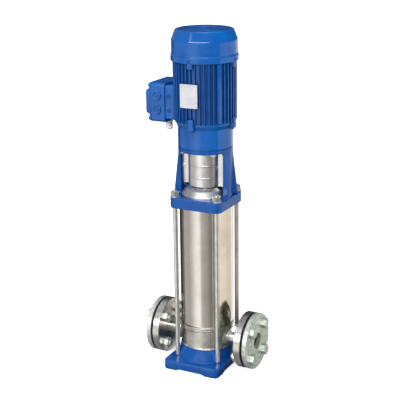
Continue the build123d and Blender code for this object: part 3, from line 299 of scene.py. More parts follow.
def make_finishes():
    """Every finish of the pump by its slot's name, made once."""
    c = bpy.context.scene.pump_colours
    deep = c.enamel_deep[:]
    return {
        # Enamel brushed over sand-cast iron: deep colour, soft grain and glints on rounded edges.
        "pump_enamel": enamel("cast_iron_enamel", c.cast_enamel[:], deep, 3.5, 1.1, 1.0, 0.65),
        # Enamel sprayed over die-cast aluminium and pressed sheet: brighter, smoother and glossier.
        "motor_enamel": enamel("motor_frame_enamel", c.enamel[:], deep, 6.0, 0.10, 0.7, 0.9),
        # Drawn and polished tube: mirror-like with faint lines around it.
        "polished_stainless": bare_metal("polished_stainless_tube", c.stainless[:], linear("c8c2b8"),
                                         0.10, AROUND, 9, 0.012, 60),
        # Blasted and machined stainless castings: satin, with a fine even grain.
        "cast_stainless": bare_metal("machined_stainless_casting", c.cast_stainless[:],
                                     linear("bab6ae"), 0.28, EVEN, 2.2, 0.08, 25),
        # Cold-rolled bright sheet: broad, slightly wavy highlights.
        "pressed_stainless": bare_metal("bright_stainless_sheet", linear("e6e4e1"), linear("d4d2cf"),
                                        0.31, (1, 1, 12), 1.2, 0.02, 40),
        # Ground bar and machined nuts: pale and satin, so that the rods read as light lines.
        "ground_stainless": bare_metal("ground_stainless_bar", linear("e6e4e0"), linear("d2d0cc"),
                                       0.34, AROUND, 6, 0.02, 20),
        # Passivated zinc plating: greenish-grey, mottled, softly glossy.
        "zinc_plated_steel": bare_metal("passivated_zinc_plating", c.zinc[:], linear("a4b0a6"),
                                        0.34, EVEN, 5, 0.05, 9, matte=0.35),
        # Turned shaft steel: grey with fine rings from the tool.
        "shaft_steel": bare_metal("turned_shaft_steel", linear("b4b2ae"), linear("9c9a96"),
                                  0.28, AROUND, 3, 0.03),
        # Polished bearing steel: the brightest and sharpest of the metals.
        "bearing_steel": bare_metal("polished_bearing_steel", linear("c9c9c9"), linear("bbbbbb"),
                                    0.1, EVEN, 4, 0.01),
        # Turned brass: warm yellow against the steel.
        "brass_fittings": bare_metal("turned_brass", linear("c9a255"), linear("b08a40"),
                                     0.25, EVEN, 3, 0.03),
        # Varnished copper wire: red-brown, with a fine relief across the turns.
        "copper_windings": bare_metal("varnished_copper_wire", linear("b5652f"), linear("8e4a20"),
                                      0.35, (1, 1, 8), 0.8, 0.3, 10),
        # Stacked sheets: dull grey, with thin level lines.
        "lamination_steel": bare_metal("stacked_steel_sheets", linear("6f6f72"), linear("55555a"),
                                       0.45, (12, 12, 0.4), 1.0, 0.15, 20),
        # Lacquered aluminium: pale and even, without sharp highlights.
        "plate_aluminium": moulded("lacquered_aluminium_plate", c.plate[:], linear("aeaeb2"),
                                   0.4, 0.9, 0.2),
        # Lapped carbide: nearly black and glossy.
        "seal_carbide": moulded("lapped_carbide", linear("2b2c2e"), linear("38393c"), 0.2, 3),
        # Moulded rubber: the dullest black.
        "black_rubber": moulded("moulded_rubber", linear("1b1b1c"), linear("242425"), 0.6, 1.2),
        # Glass-filled plastic: dark grey with a fine grain.
        "fan_plastic": moulded("glass_filled_plastic", linear("1f2022"), linear("2a2b2d"), 0.5, 0.9),
        # Phenolic board: brown and slightly glossy.
        "board_plastic": moulded("phenolic_board", linear("7d6647"), linear("6a5539"), 0.45, 1.0),
        # Light grey polyamide: slightly waxy.
        "gland_plastic": moulded("grey_polyamide", c.gland[:], linear("d2d4d3"), 0.38, 1.0, 0.15),
    }


FINISH = {}


# ---------------------------------------------------------------- surfaces
def arc(centre, radius, first, last, steps):
    """Points on a circle: centre + radius (cos a, sin a), a even between two angles in degrees."""
    a = np.radians(np.linspace(first, last, steps))
    return np.stack([centre[0] + radius * np.cos(a), centre[1] + radius * np.sin(a)], axis=-1)


def around(r, v, z):
    """Points (r cos v, r sin v, z), each of the three a number or an array."""
    return np.stack(np.broadcast_arrays(r * np.cos(v), r * np.sin(v), z), axis=-1)


def evenly(count):
    """Angles evenly spaced around a full turn."""
    return np.arange(count) * (2 * np.pi / count)


def level(flat, height):
    """Outline (x, y) set at one height, or at a height for each point."""
    return np.column_stack([flat, np.broadcast_to(height, len(flat))])


def rounded(corners, radii, steps=5, lead=0.25, ring=True):
    """Outline whose corners are arcs tangent to both sides, with a support point beside each arc.

    An arc's centre lies on the corner's bisector, radius / sin(half the corner's angle) away.
    """
    p = np.asarray(corners, float)
    radii = np.broadcast_to(np.asarray(radii, float), len(p))
    points = []
    for i, corner in enumerate(p):
        if radii[i] <= 0 or (not ring and i in (0, len(p) - 1)):
            points.append(corner[None])
            continue
        before = p[i - 1] - corner
        after = p[(i + 1) % len(p)] - corner
        room = min(np.linalg.norm(before), np.linalg.norm(after))
        u = before / np.linalg.norm(before)
        v = after / np.linalg.norm(after)
        half = np.arccos(np.clip(u @ v, -1, 1)) / 2
        reach = min(radii[i] / np.tan(half), 0.48 * room)
        radius = reach * np.tan(half)
        centre = corner + (u + v) / np.linalg.norm(u + v) * radius / np.sin(half)
        t = np.linspace(0, 1, steps)[:, None]
        start = corner + u * reach - centre
        end = corner + v * reach - centre
        swing = np.pi - 2 * half
        curve = (np.sin((1 - t) * swing) * start + np.sin(t * swing) * end) / np.sin(swing) + centre
        margin = min(lead, 0.02 * room)
        points.append(np.vstack([corner + u * (reach + margin), curve, corner + v * (reach + margin)]))
    return np.vstack(points)


def round_rectangle(half_x, half_y, corner, steps=9, sides=3):
    """Rectangle with round corners: four quarter circles joined by evenly divided straight sides."""
    corner = max(corner, 0.05)
    quarter = [arc((sx * (half_x - corner), sy * (half_y - corner)), corner, turn, turn + 90, steps)
               for sx, sy, turn in ((1, 1, 0), (-1, 1, 90), (-1, -1, 180), (1, -1, 270))]
    t = np.concatenate([[0.01], np.arange(1, sides) / sides, [0.99]])[:, None]
    runs = [one[-1] + (two[0] - one[-1]) * t for one, two in zip(quarter, quarter[1:] + quarter[:1])]
    return np.vstack([part for pair in zip(quarter, runs) for part in pair])


def inset_rectangle(half_x, half_y, corner, steps=9, sides=3):
    """Round rectangle as a function of how far it is drawn in from its edge."""
    return lambda inset: round_rectangle(half_x - inset, half_y - inset, corner - inset, steps, sides)


def turning(profile, count=96):
    """Lathe surface (r cos v, r sin v, z) of a profile (r, z), v evenly around the axis."""
    r, z = np.asarray(profile, float).T
    return around(r[:, None], evenly(count), z[:, None])


def lathed(corners, radii, count, steps=5):
    """Closed solid of revolution whose section is a ring of rounded corners (r, z)."""
    return shell(turning(rounded(corners, radii, steps), count), ring=True)


def carried(outline_at, stations):
    """Outline carried upward: at each station (inset, height) it is drawn smaller by the inset."""
    return np.stack([level(outline_at(inset), height) for inset, height in stations])


def edged(low_z, high_z, low_r, high_r, steps=5, lead=0.3):
    """Stations of a wall with both rims rounded: quarter circles of inset against height."""
    a = np.linspace(0, np.pi / 2, steps)
    foot = np.column_stack([low_r * (1 - np.sin(a)), low_z + low_r * (1 - np.cos(a))])
    head = np.column_stack([high_r * (1 - np.cos(a)), high_z - high_r * (1 - np.sin(a))])
    wall = [[0, low_z + low_r + lead], [0, high_z - high_r - lead]]
    return np.vstack([[[low_r + lead, low_z]], foot, wall, head, [[high_r + lead, high_z]]])


CONE_START = 0.93
BORE_CHAMFER = 0.8


def hexagon_r(angle, flat):
    """Radius of a hexagon at an angle: flat / cos(angle from the middle of the nearest side)."""
    return flat / np.cos((angle + np.pi / 6) % (np.pi / 3) - np.pi / 6)


def nut_grid(across, height, bore=0.0, both=True, per_side=8):
    """Hexagon whose corners are turned off by a 30 degree cone: the top falls as (r - r0) tan 30."""
    v = evenly(6 * per_side)
    r = hexagon_r(v, across / 2)
    start = CONE_START * across / 2
    drop = (r - start) * np.tan(np.pi / 6)
    foot = [(start * 0.97, 0), (start, 0), (r, drop)] if both else [(r * 0.97, 0), (r, 0)]
    rows = foot + [(r, height - drop), (start, height), (start * 0.97, height)]
    if bore > 0:
        mouth = bore + BORE_CHAMFER
        rows += [(mouth, height), (bore, height - BORE_CHAMFER), (bore, BORE_CHAMFER), (mouth, 0)]
    return np.stack([around(q, v, z) for q, z in rows])


def thread_grid(radius, start, end, pitch, count=32):
    """Screw thread: radius falls and rises as a triangle wave of (height / pitch - turn).

    The wave is half a pitch deep, and the last pitch tapers off to a blunt tip.
    """
    rows = max(int((end - start) / pitch * 4), 4)
    z = np.linspace(start, end, rows)[:, None]
    v = evenly(count)
    wave = np.abs(((z / pitch - v / (2 * np.pi)) % 1) * 2 - 1)
    cut = np.clip((end - z) / pitch, 0, 1)
    return around(radius - 0.5 * pitch * wave - pitch * 0.6 * (1 - cut), v, z)


def shell(grid, ring=False):
    """Closed surface over a grid whose rows close around, with its end rows capped or joined.

    Each face joins points (i, j), (i, j + 1), (i + 1, j + 1) and (i + 1, j) of the grid.
    """
    n, m, _ = grid.shape
    rows = n if ring else n - 1
    i = np.arange(rows)[:, None]
    j = np.arange(m)[None]
    i2, j2 = (i + 1) % n, (j + 1) % m
    quads = np.stack([i * m + j, i * m + j2, i2 * m + j2, i2 * m + j], axis=-1).reshape(-1, 4)
    faces = [quads]
    if not ring:
        faces += [np.arange(m)[None, ::-1], (np.arange(m) + (n - 1) * m)[None]]
    return outward((grid.reshape(-1, 3), faces))


def outward(part):
    """Turn the faces over if the volume under them, the sum of a . (b x c) / 6, comes out negative."""
    verts, faces = part
    volume = 0.0
    for block in faces:
        a, b, c = verts[block[:, :1]], verts[block[:, 1:-1]], verts[block[:, 2:]]
        volume += np.sum(a * np.cross(b, c))
    return (verts, [block[:, ::-1] for block in faces]) if volume < 0 else part


def pierced(outer, inner, keep):
    """Sheet between two grids with holes: skins over the kept cells and walls along every free edge."""
    n, m, _ = outer.shape
    i, j = np.nonzero(keep)
    j2 = (j + 1) % m
    under = n * m
    a, b, c, d = i * m + j, i * m + j2, (i + 1) * m + j2, (i + 1) * m + j
    faces = [np.stack([a, b, c, d], -1), np.stack([a, d, c, b], -1) + under]
    below = np.vstack([np.zeros((1, m), bool), keep[:-1]])
    above = np.vstack([keep[1:], np.zeros((1, m), bool)])
    left = np.roll(keep, 1, axis=1)
    right = np.roll(keep, -1, axis=1)
    for beside, p, q in ((below, a, b), (right, b, c), (above, c, d), (left, d, a)):
        free = ~beside[i, j]
        faces.append(np.stack([q[free], p[free], p[free] + under, q[free] + under], -1))
    return outward((np.vstack([outer.reshape(-1, 3), inner.reshape(-1, 3)]), faces))


LAYS = {None: ((0, 1, 2), (1, 1, 1)), "x": ((2, 1, 0), (1, 1, -1)), "-x": ((2, 1, 0), (-1, 1, 1)),
        "y": ((0, 2, 1), (1, 1, 1)), "-y": ((0, 2, 1), (1, -1, 1))}


def moved(part, offset=(0, 0, 0), about_z=0.0, lay=None):
    """Copy of a part, laid over so that its Z points along +X, -X, +Y or -Y, turned and moved."""
    verts, faces = part
    axes, signs = LAYS[lay]
    a = np.radians(about_z)
    spin = np.array([[np.cos(a), np.sin(a), 0], [-np.sin(a), np.cos(a), 0], [0, 0, 1]])
    return outward((verts[:, axes] * signs @ spin + np.asarray(offset, float), faces))


def piece(name, parts, slot, nodes, body="pump", sharp=38):
    """One finished object from its parts: smooth faces, with edges above the sharp angle kept crisp."""
    verts = np.vstack([v for v, _ in parts]) * MM
    starts = np.cumsum([0] + [len(v) for v, _ in parts[:-1]])
    blocks = [block + start for (_, faces), start in zip(parts, starts) for block in faces
              if len(block)]
    corners = np.concatenate([block.ravel() for block in blocks])
    sizes = np.concatenate([np.full(len(block), block.shape[1]) for block in blocks])
    mesh = bpy.data.meshes.new(name)
    mesh.vertices.add(len(verts))
    mesh.vertices.foreach_set("co", verts.ravel())
    mesh.loops.add(len(corners))
    mesh.loops.foreach_set("vertex_index", corners.astype(np.int32))
    mesh.polygons.add(len(sizes))
    loop_starts = np.concatenate([[0], np.cumsum(sizes)[:-1]])
    mesh.polygons.foreach_set("loop_start", loop_starts.astype(np.int32))
    mesh.update(calc_edges=True)
    if mesh.validate():
        raise ValueError(f"{name}: the mesh had faults")
    mesh.shade_smooth()
    mesh.set_sharp_from_angle(angle=np.radians(sharp))
    mesh.materials.append(FINISH[slot])
    obj = bpy.data.objects.new(name, mesh)
    bpy.context.scene.collection.objects.link(obj)
    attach(obj, body)
    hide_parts(*nodes)
    return obj


# ---------------------------------------------------------------- base and port castings
FOOT_RISE = 4.0
FOOT_SIZE = 36.0
FOOT_EASE = 8.0
FOOT_EDGE = 1.5
PLATE_TOP = 24.0
PLATE_CORNER = 12.0
NECK_X = 70.0
NECK_Y = 84.0
NECK_FILLET = 6.0
FILLET_TURN = 74
ROD_HOLE_R = 5.9


def underside(flat):
    """Height of the underside: 0 under the corner feet, eased by t t (3 - 2 t) to the rise between."""
    free_x = np.maximum(BASE_HALF_X - np.abs(flat[:, 0]), 0) - FOOT_SIZE
    free_y = np.maximum(BASE_HALF_Y - np.abs(flat[:, 1]), 0) - FOOT_SIZE
    t = np.clip(np.maximum(free_x, free_y) / FOOT_EASE, 0, 1)
    return FOOT_RISE * t * t * (3 - 2 * t)


def base_casting():
    """Foot plate and neck as one surface: its outline shrinks to an ellipse, then to a circle."""
    edge = in_mm(bpy.context.scene.pump_shapes.cast_edge)
    plate = inset_rectangle(BASE_HALF_X, BASE_HALF_Y, PLATE_CORNER, 13, 16)
    rim = plate(0)
    angle = np.arctan2(rim[:, 1], rim[:, 0])
    ellipse = 1 / np.sqrt((np.cos(angle) / NECK_X) ** 2 + (np.sin(angle) / NECK_Y) ** 2)
    rows = [level(plate(inset), underside(plate(inset))) for inset in (44, 40, 36, 30, 24, 16, 8, 2.5)]
    for k in np.radians((30, 60, 90)):
        rows.append(level(plate(FOOT_EDGE * (1 - np.sin(k))),
                          underside(rim) + FOOT_EDGE * (1 - np.cos(k))))
    rows += [level(plate(inset), height) for inset, height in edged(0, PLATE_TOP, 0.1, edge)[7:]]
    edge_r = np.hypot(*plate(edge + 0.3).T)
    for k in (0.3, 0.65, 0.97):
        r = edge_r + (np.minimum(ellipse + NECK_FILLET, edge_r - 0.4) - edge_r) * k
        rows.append(around(r, angle, PLATE_TOP))
    reach = np.minimum(NECK_FILLET, np.maximum(edge_r - 0.5 - ellipse, 0.5))
    for k in np.radians(np.linspace(0, FILLET_TURN, 7)):
        rows.append(around(ellipse + reach * (1 - np.sin(k)), angle,
                           PLATE_TOP + NECK_FILLET * (1 - np.cos(k))))
    foot_z = PLATE_TOP + NECK_FILLET * (1 - np.cos(np.radians(FILLET_TURN)))
    for t in np.linspace(0.12, 1, 9):
        r = ellipse + (RING_R - 0.4 - ellipse) * t ** 0.9
        rows.append(around(r, angle, foot_z + (SEAT - 2.6 - foot_z) * t))
    for inset, drop in ((0.1, 2.0), (0, 1.5), (0, 0.6), (0.2, 0.15), (0.6, 0), (2, 0)):
        rows.append(around(RING_R - inset, angle, SEAT - drop))
    boss = lathed([(ROD_HOLE_R, PLATE_TOP - 1), (10.5, PLATE_TOP - 1), (10, PLATE_TOP + 2.2),
                   (ROD_HOLE_R, PLATE_TOP + 2.2)], (0, 0, 0.8, 0.3), 40)
    return [shell(np.stack(rows))] + [moved(boss, place) for place in ROD_PLACES]


# ---------------------------------------------------------------- fasteners
BOLT_ACROSS = 24.0
BOLT_R = 7.9
BOLT_PITCH = 2.0
BOLT_HEAD = 10.0
BOLT_END = 18.0
BOLT_NUT = 13.0
BOLT_CIRCLE_R = 50.0


def flange_bolt():
    """Hexagon bolt along Z: head above 0, a plain shank, and a thread at the end."""
    grip = COUNTER_FACE - FLANGE_BACK
    return (shell(nut_grid(BOLT_ACROSS, BOLT_HEAD, both=False)),
            shell(turning([(BOLT_R, -grip - 2), (BOLT_R, 0.5)], 32)),
            shell(thread_grid(BOLT_R, -grip - BOLT_END, -grip - 1, BOLT_PITCH)[::-1]))


def at_bolt_circle(part, x, lay):
    """Copies of a part on the bolt circle of one port, straddling its middle."""
    d = BOLT_CIRCLE_R * np.sqrt(0.5)
    return [moved(part, (x, sy * d, PORT_Z + sz * d), lay=lay) for sy in (-1, 1) for sz in (-1, 1)]


# ---------------------------------------------------------------- operators
class PUMP_OT_finishes(bpy.types.Operator):
    """Make every finish and give it to the model's own parts"""
    bl_idname = "pump.finishes"
    bl_label = "Finishes"

    def execute(self, context):
        FINISH.update(make_finishes())
        slots = {sub["node"]: sub["material_slot"] for sub in frame["record"]["subparts"]}
        for node, obj in frame["nodes"].items():
            for holder in obj.material_slots:
                holder.material = FINISH[slots[node]]
            if not obj.material_slots:
                obj.data.materials.append(FINISH[slots[node]])
        return {"FINISHED"}


class PUMP_OT_base(bpy.types.Operator):
    """Cast iron base with its four feet and the neck under the pump body"""
    bl_idname = "pump.base"
    bl_label = "Base casting"

    def execute(self, context):
        piece("base_casting", base_casting(), "pump_enamel", ["base"])
        return {"FINISHED"}


BODY_R = SLEEVE_R - 1.4
BODY_INNER_R = 40.0
RING_LOW = SLEEVE_LOW - 13.6
GROOVE_DEPTH = 3.2
NECK_R = 23.0
NECK_ROOT = 2.5
COLLAR_R = 38.0
COLLAR_BACK, COLLAR_FACE = 119.0, 124.5
PORT_BORE_R = 18.5
DRAIN_R, DRAIN_HOLE_R, DRAIN_Z = 13.0, 8.4, 74.0


def port_body():
    """Pump body: a turned shell with its clamping ring, and a neck and collar to each port.

    A neck's radius falls from its root as a quarter circle, so that it grows out of the body.
    """
    deep, lip = GROOVE_DEPTH, BODY_R + 1.8
    wall = lathed([(BODY_INNER_R, SEAT - 4), (lip, SEAT - 4), (lip, SEAT + 0.8), (BODY_R, SEAT + 3.2),
                   (BODY_R, RING_LOW - 2.2), (BODY_R - deep, RING_LOW - 2.2), (BODY_R - deep, RING_LOW),
                   (RING_R, RING_LOW), (RING_R, RING_LOW + 5.0), (RING_R - 0.5, RING_LOW + 5.4),
                   (RING_R - 0.5, RING_LOW + 6.2), (RING_R, RING_LOW + 6.6), (RING_R, SLEEVE_LOW - 2.0),
                   (SLEEVE_R - deep, SLEEVE_LOW - 2.0), (SLEEVE_R - deep, SLEEVE_LOW),
                   (BODY_INNER_R, SLEEVE_LOW)],
                  (0, 0, 0.4, 1.2, 0.7, 0.2, 0.2, 0.9, 0.3, 0.2, 0.2, 0.3, 0.9, 0.2, 0, 0), 160)
    bend = arc((BODY_R - 1 + NECK_ROOT, NECK_R + NECK_ROOT), NECK_ROOT, 180, 270, 9)[:, ::-1]
    neck = np.vstack([[(30, 40), (30, 58)], [(NECK_R + NECK_ROOT, BODY_R - 1)], bend[1:],
                      [(NECK_R, 116), (COLLAR_R, COLLAR_BACK), (COLLAR_R, COLLAR_FACE),
                       (PORT_BORE_R, COLLAR_FACE), (PORT_BORE_R, 40)]])
    neck = shell(turning(neck, 96), ring=True)
    boss = lathed([(DRAIN_HOLE_R, 56), (DRAIN_R, 56), (DRAIN_R - 0.7, BODY_R + 5),
                   (DRAIN_HOLE_R, BODY_R + 5)], (0, 0, 0.8, 0.3), 48)
    at = (0, 0, PORT_Z)
    return [wall, moved(neck, at, lay="x"), moved(neck, at, lay="-x"),
            moved(boss, (0, 0, DRAIN_Z), lay="y")]


class PUMP_OT_port_body(bpy.types.Operator):
    """Polished pump body with its clamping ring and port necks"""
    bl_idname = "pump.port_body"
    bl_label = "Pump body"

    def execute(self, context):
        piece("port_body", port_body(), "cast_stainless", ["pump_body"])
        return {"FINISHED"}


class PUMP_OT_port_bolting(bpy.types.Operator):
    """Bolts and nuts of both port flanges"""
    bl_idname = "pump.port_bolting"
    bl_label = "Port bolting"

    def execute(self, context):
        bolts = []
        for part in flange_bolt():
            bolts += at_bolt_circle(part, COUNTER_FACE, "x") + at_bolt_circle(part, -COUNTER_FACE, "-x")
        nut = shell(nut_grid(BOLT_ACROSS, BOLT_NUT, bore=BOLT_R + 0.1), ring=True)
        nuts = at_bolt_circle(nut, FLANGE_BACK, "-x") + at_bolt_circle(nut, -FLANGE_BACK, "x")
        piece("port_bolts", bolts, "zinc_plated_steel", ["flange_bolts"])
        piece("port_nuts", nuts, "zinc_plated_steel", ["flange_nuts"])
        return {"FINISHED"}


SLEEVE_WALL = 2.0


class PUMP_OT_sleeve(bpy.types.Operator):
    """Polished outer sleeve of the pump"""
    bl_idname = "pump.sleeve"
    bl_label = "Outer sleeve"

    def execute(self, context):
        inner = SLEEVE_R - SLEEVE_WALL
        tube = lathed([(SLEEVE_R, SLEEVE_LOW), (SLEEVE_R, SLEEVE_TOP), (inner, SLEEVE_TOP),
                       (inner, SLEEVE_LOW)], 0.6, 160)
        piece("polished_sleeve", [tube], "polished_stainless", ["outer_sleeve"])
        return {"FINISHED"}


ROD_R = 5.95
ROD_PITCH = 1.75
ROD_NUT_ACROSS = 19.0


class PUMP_OT_tie_rods(bpy.types.Operator):
    """Four tie rods with their washers and nuts"""
    bl_idname = "pump.tie_rods"
    bl_label = "Tie rods"

    def execute(self, context):
        foot, tip = low("tie_rods", Z), high("tie_rods", Z) - 2
        nut_low, nut_top = low("tie_rod_nuts", Z), high("tie_rod_nuts", Z)
        bar = shell(turning([(ROD_R, foot), (ROD_R, nut_low)], 40))
        thread = shell(thread_grid(ROD_R, nut_low - 1, tip, ROD_PITCH, 36))
        ring = lathed([(6.4, DECK), (WASHER_R, DECK), (WASHER_R, nut_low), (6.4, nut_low)],
                      (0.2, 0.4, 0.6, 0.3), 48)
        nut = shell(nut_grid(ROD_NUT_ACROSS, nut_top - nut_low, bore=ROD_R + 0.1), ring=True)
        piece("tie_bars", [moved(part, place) for place in ROD_PLACES for part in (bar, thread)],
              "ground_stainless", ["tie_rods"])
        piece("rod_washers", [moved(ring, place) for place in ROD_PLACES], "ground_stainless",
              ["tie_rod_washers"])
        piece("rod_nuts", [moved(nut, (x, y, nut_low), about_z=15) for x, y, _ in ROD_PLACES],
              "ground_stainless", ["tie_rod_nuts"])
        return {"FINISHED"}


# ---------------------------------------------------------------- lantern
LANTERN_R = 66.0
LANTERN_INNER = 60.5
CAP_LOW = SEAM - 11
CAP_BORE = 47.6
SEAM_GROOVE = 1.8
LANTERN_BORE = 60.1
POCKET = 8.0
BOSS_PLACE, BOSS_HALF, BOSS_CORNER = 56.5, (7, 12), 3
LEG_HALF = 21.0
LEG_SINK = 14.0
WINDOW_TOP_R, WINDOW_FOOT_R = 9.0, 6.0
RIB_FLARE = 77.7
RIB_SOLID, RIB_EASE = 4.2, 5.0
RIB_EDGE, RIB_DROP = 1.6, 1.4


def lantern_flange(edge):
    """Square flange around the bore: outline, rim, bore and pocket joined in one ring of rows."""
    half = high("lantern", Y)
    square = inset_rectangle(half, half, 17.5, 13, 12)
    rim = square(0)
    angle = np.arctan2(rim[:, 1], rim[:, 0])
    rows = [level(square(inset), height) for inset, height in edged(LANTERN_LOW, DECK, 1.2, edge)]
    for beside, drop in ((1.4, 0), (0.6, 0.15), (0.2, 0.5), (0, 1)):
        rows.append(around(LANTERN_BORE + beside, angle, DECK - drop))
    for r, up in ((LANTERN_BORE, POCKET + 0.2), (RING_R + 0.3, POCKET), (RING_R + 0.3, 0)):
        rows.append(around(r, angle, LANTERN_LOW + up))
    return shell(np.stack(rows), ring=True)


def lantern_leg():
    """Leg about +X: at each height a curved web whose two edges swell into ribs.

    The half angle grows by a quarter circle near both ends, which rounds the windows' corners, and the
    ribs lean out from the cap's radius at the top to their flare at the foot.
    """
    top, foot = WINDOW_TOP_R, WINDOW_FOOT_R
    quarter = np.radians(np.linspace(0, 90, 9))
    heights = np.concatenate([np.linspace(DECK - LEG_SINK, DECK, 8)[:-1],
                              DECK + foot * (1 - np.cos(np.radians(np.linspace(0, 90, 8)))),
                              np.linspace(DECK + 9, CAP_LOW - top - 2, 9),
                              CAP_LOW - top * (1 - np.sin(quarter)), [CAP_LOW + 3]])
    z = heights[:, None]
    near_top = np.clip((z - CAP_LOW + top) / top, 0, 1)
    near_foot = np.clip((DECK + foot - z) / foot, 0, 1)
    grow = top * (1 - np.sqrt(1 - near_top ** 2)) + foot * (1 - np.sqrt(1 - near_foot ** 2))
    half = np.radians(LEG_HALF) + grow / LANTERN_R
    u = np.linspace(-1, 1, 41)
    u = np.sign(u) * np.abs(u) ** 0.8
    lean = np.clip((z - DECK - 6) / (CAP_LOW - DECK - 6), 0, 1)
    toe = np.clip((DECK - z) / LEG_SINK, 0, 1)
    flare = (RIB_FLARE - LANTERN_R) * (1 - lean) * (1 - toe ** 2) - 3 * toe
    theta = u * half
    from_edge = (half - np.abs(theta)) * LANTERN_R
    rib = np.clip(1 - (from_edge - RIB_SOLID) / RIB_EASE, 0, 1)
    rib = rib * rib * (3 - 2 * rib)
    tip = np.clip(from_edge / RIB_EDGE, 0, 1)
    outer = LANTERN_R + flare * rib - RIB_DROP * (1 - np.sqrt(1 - (1 - tip) ** 2))
    front, rear = around(outer, theta, z), around(LANTERN_INNER, theta, z)
    return shell(np.concatenate([front, rear[:, ::-1]], axis=1))


class PUMP_OT_lantern(bpy.types.Operator):
    """Cast lantern between the pump and the motor, with its two legs and windows"""
    bl_idname = "pump.lantern"
    bl_label = "Lantern casting"

    def execute(self, context):
        edge = in_mm(context.scene.pump_shapes.cast_edge)
        leg = lantern_leg()
        groove_r = LANTERN_R - SEAM_GROOVE
        cap = lathed([(CAP_BORE, CAP_LOW), (LANTERN_R, CAP_LOW), (LANTERN_R, SEAM - 1.6),
                      (groove_r, SEAM - 1.5), (groove_r, SEAM), (CAP_BORE, SEAM)],
                     (0.5, 2.2, 0.7, 0.2, 0, 0.3), 128)
        boss = shell(carried(inset_rectangle(*BOSS_HALF, BOSS_CORNER, 5),
                             edged(DECK + 17, CAP_LOW + 2, 2, 0.2)))
        boss = moved(boss, (BOSS_PLACE, 0, 0))
        both = [copy for part in (leg, boss) for copy in (part, moved(part, about_z=180))]
        piece("lantern_casting", [lantern_flange(edge), cap] + both, "pump_enamel", ["lantern"])
        return {"FINISHED"}


DISH_RIM = 26.0
DISH_FOOT_R = 66.9
DISH_R = 59.7
DISH_NECK_R = 35.0
SHAFT_HOLE_R = 9.0


class PUMP_OT_seal_housing(bpy.types.Operator):
    """Dished seal housing on top of the pump"""
    bl_idname = "pump.seal_housing"
    bl_label = "Seal housing"

    def execute(self, context):
        base, top = low("seal_housing", Z), high("seal_housing", Z)
        rim, bore, land = base + DISH_RIM, SHAFT_HOLE_R, top - 1.2
        dish = lathed([(bore, base), (DISH_FOOT_R, base), (DISH_FOOT_R, base + 3), (DISH_R, base + 3),
                       (DISH_R, rim - 0.6), (51, rim + 11.5), (38, rim + 20.5),
                       (DISH_NECK_R, top - 4), (DISH_NECK_R, top), (30, top), (28.5, land),
                       (14, land), (12.5, top), (bore, top)],
                      (0, 0.4, 0.6, 0.2, 1.0, 9, 4, 2, 1, 0.8, 0.6, 0.6, 0.4, 0), 128)
        piece("seal_dish", [dish], "pressed_stainless", ["seal_housing"])
        return {"FINISHED"}


# ---------------------------------------------------------------- coupling guard
GUARD_R = 42.0
BEADS = (0.26, 0.62)
BEAD_HEIGHT = 0.4
BEAD_WIDTH = 1.6


def guard_half_shell():
    """Half guard: a bent sheet whose plan is wing, bend, arc about the shaft, bend, wing.

    The sheet lies half its thickness each side of that line and is carried upward; two beads push the
    arc out by height * exp(-(z / width) ** 2). A bend's centre lies bend + radius from the shaft.
    """
    s = bpy.context.scene.pump_shapes
    sheet, bend = in_mm(s.sheet), in_mm(s.guard_bend)
    foot, tall = low("guard_front", Z), high("guard_front", Z) - low("guard_front", Z)
    wing, wing_y = high("guard_front", X), high("guard_front", Y) - sheet / 2
    mid_r = GUARD_R - sheet / 2
    cx = np.sqrt((mid_r + bend) ** 2 - (bend - wing_y) ** 2)
    lean = np.degrees(np.arctan2(bend - wing_y, cx))
    line = np.vstack([[(-wing, wing_y), (-cx - 1, wing_y)],
                      arc((-cx, wing_y - bend), bend, 90, lean, 7),
                      arc((0, 0), mid_r, 180 + lean, 360 - lean, 57)[1:-1],
                      arc((cx, wing_y - bend), bend, 180 - lean, 90, 7),
                      [(cx + 1, wing_y), (wing, wing_y)]])
    along = np.gradient(line, axis=0)
    along /= np.linalg.norm(along, axis=1)[:, None]
    out = np.column_stack([along[:, 1], -along[:, 0]])
    bulged = np.clip((wing_y - bend - line[:, 1]) / 3, 0, 1)[:, None]
    near = [k * tall + np.linspace(-4, 4, 17) for k in BEADS]
    rows = []
    for up in np.unique(np.concatenate([np.linspace(0, tall, 18), *near, [0.4, tall - 0.4]])):
        bead = sum(BEAD_HEIGHT * np.exp(-((up - k * tall) / BEAD_WIDTH) ** 2) for k in BEADS)
        front = line + out * (sheet / 2 + bead * bulged)
        rear = line - out * (sheet / 2 - bead * bulged)
        rows.append(level(np.vstack([front, rear[::-1]]), foot + up))
    return shell(np.stack(rows))


class PUMP_OT_guard(bpy.types.Operator):
    """Two bent sheet guards around the coupling"""
    bl_idname = "pump.guard"
    bl_label = "Coupling guards"

    def execute(self, context):
        half = guard_half_shell()
        piece("guard_sheet_front", [half], "pressed_stainless", ["guard_front"])
        piece("guard_sheet_back", [moved(half, about_z=180)], "pressed_stainless", ["guard_back"])
        return {"FINISHED"}


# ---------------------------------------------------------------- motor
SHIELD_R = 66.0
HOUSING_R = 70.5
RAIL_ANGLE = 53.5
RAIL_HALF = 4.6
LUG_HALF_Y = 7.5
LUG_HEIGHT = 13.0
FIN_END = 2.5
POST_X, POST_Z = 18.5, 23.9


def four_lugs(start, end):
    """Four lugs that carry the screws: round rectangles sunk in the wall, with their rims rounded."""
    inner = HOUSING_R - 4
    half_x = (LUG_R - inner) / 2
    lug = shell(carried(inset_rectangle(half_x, LUG_HALF_Y, 3.5, 6), edged(start, end, 1.2, 1.2)))
    lug = moved(lug, (inner + half_x, 0, 0))
    return [moved(lug, about_z=turn) for turn in (0, 90, 180, 270)]


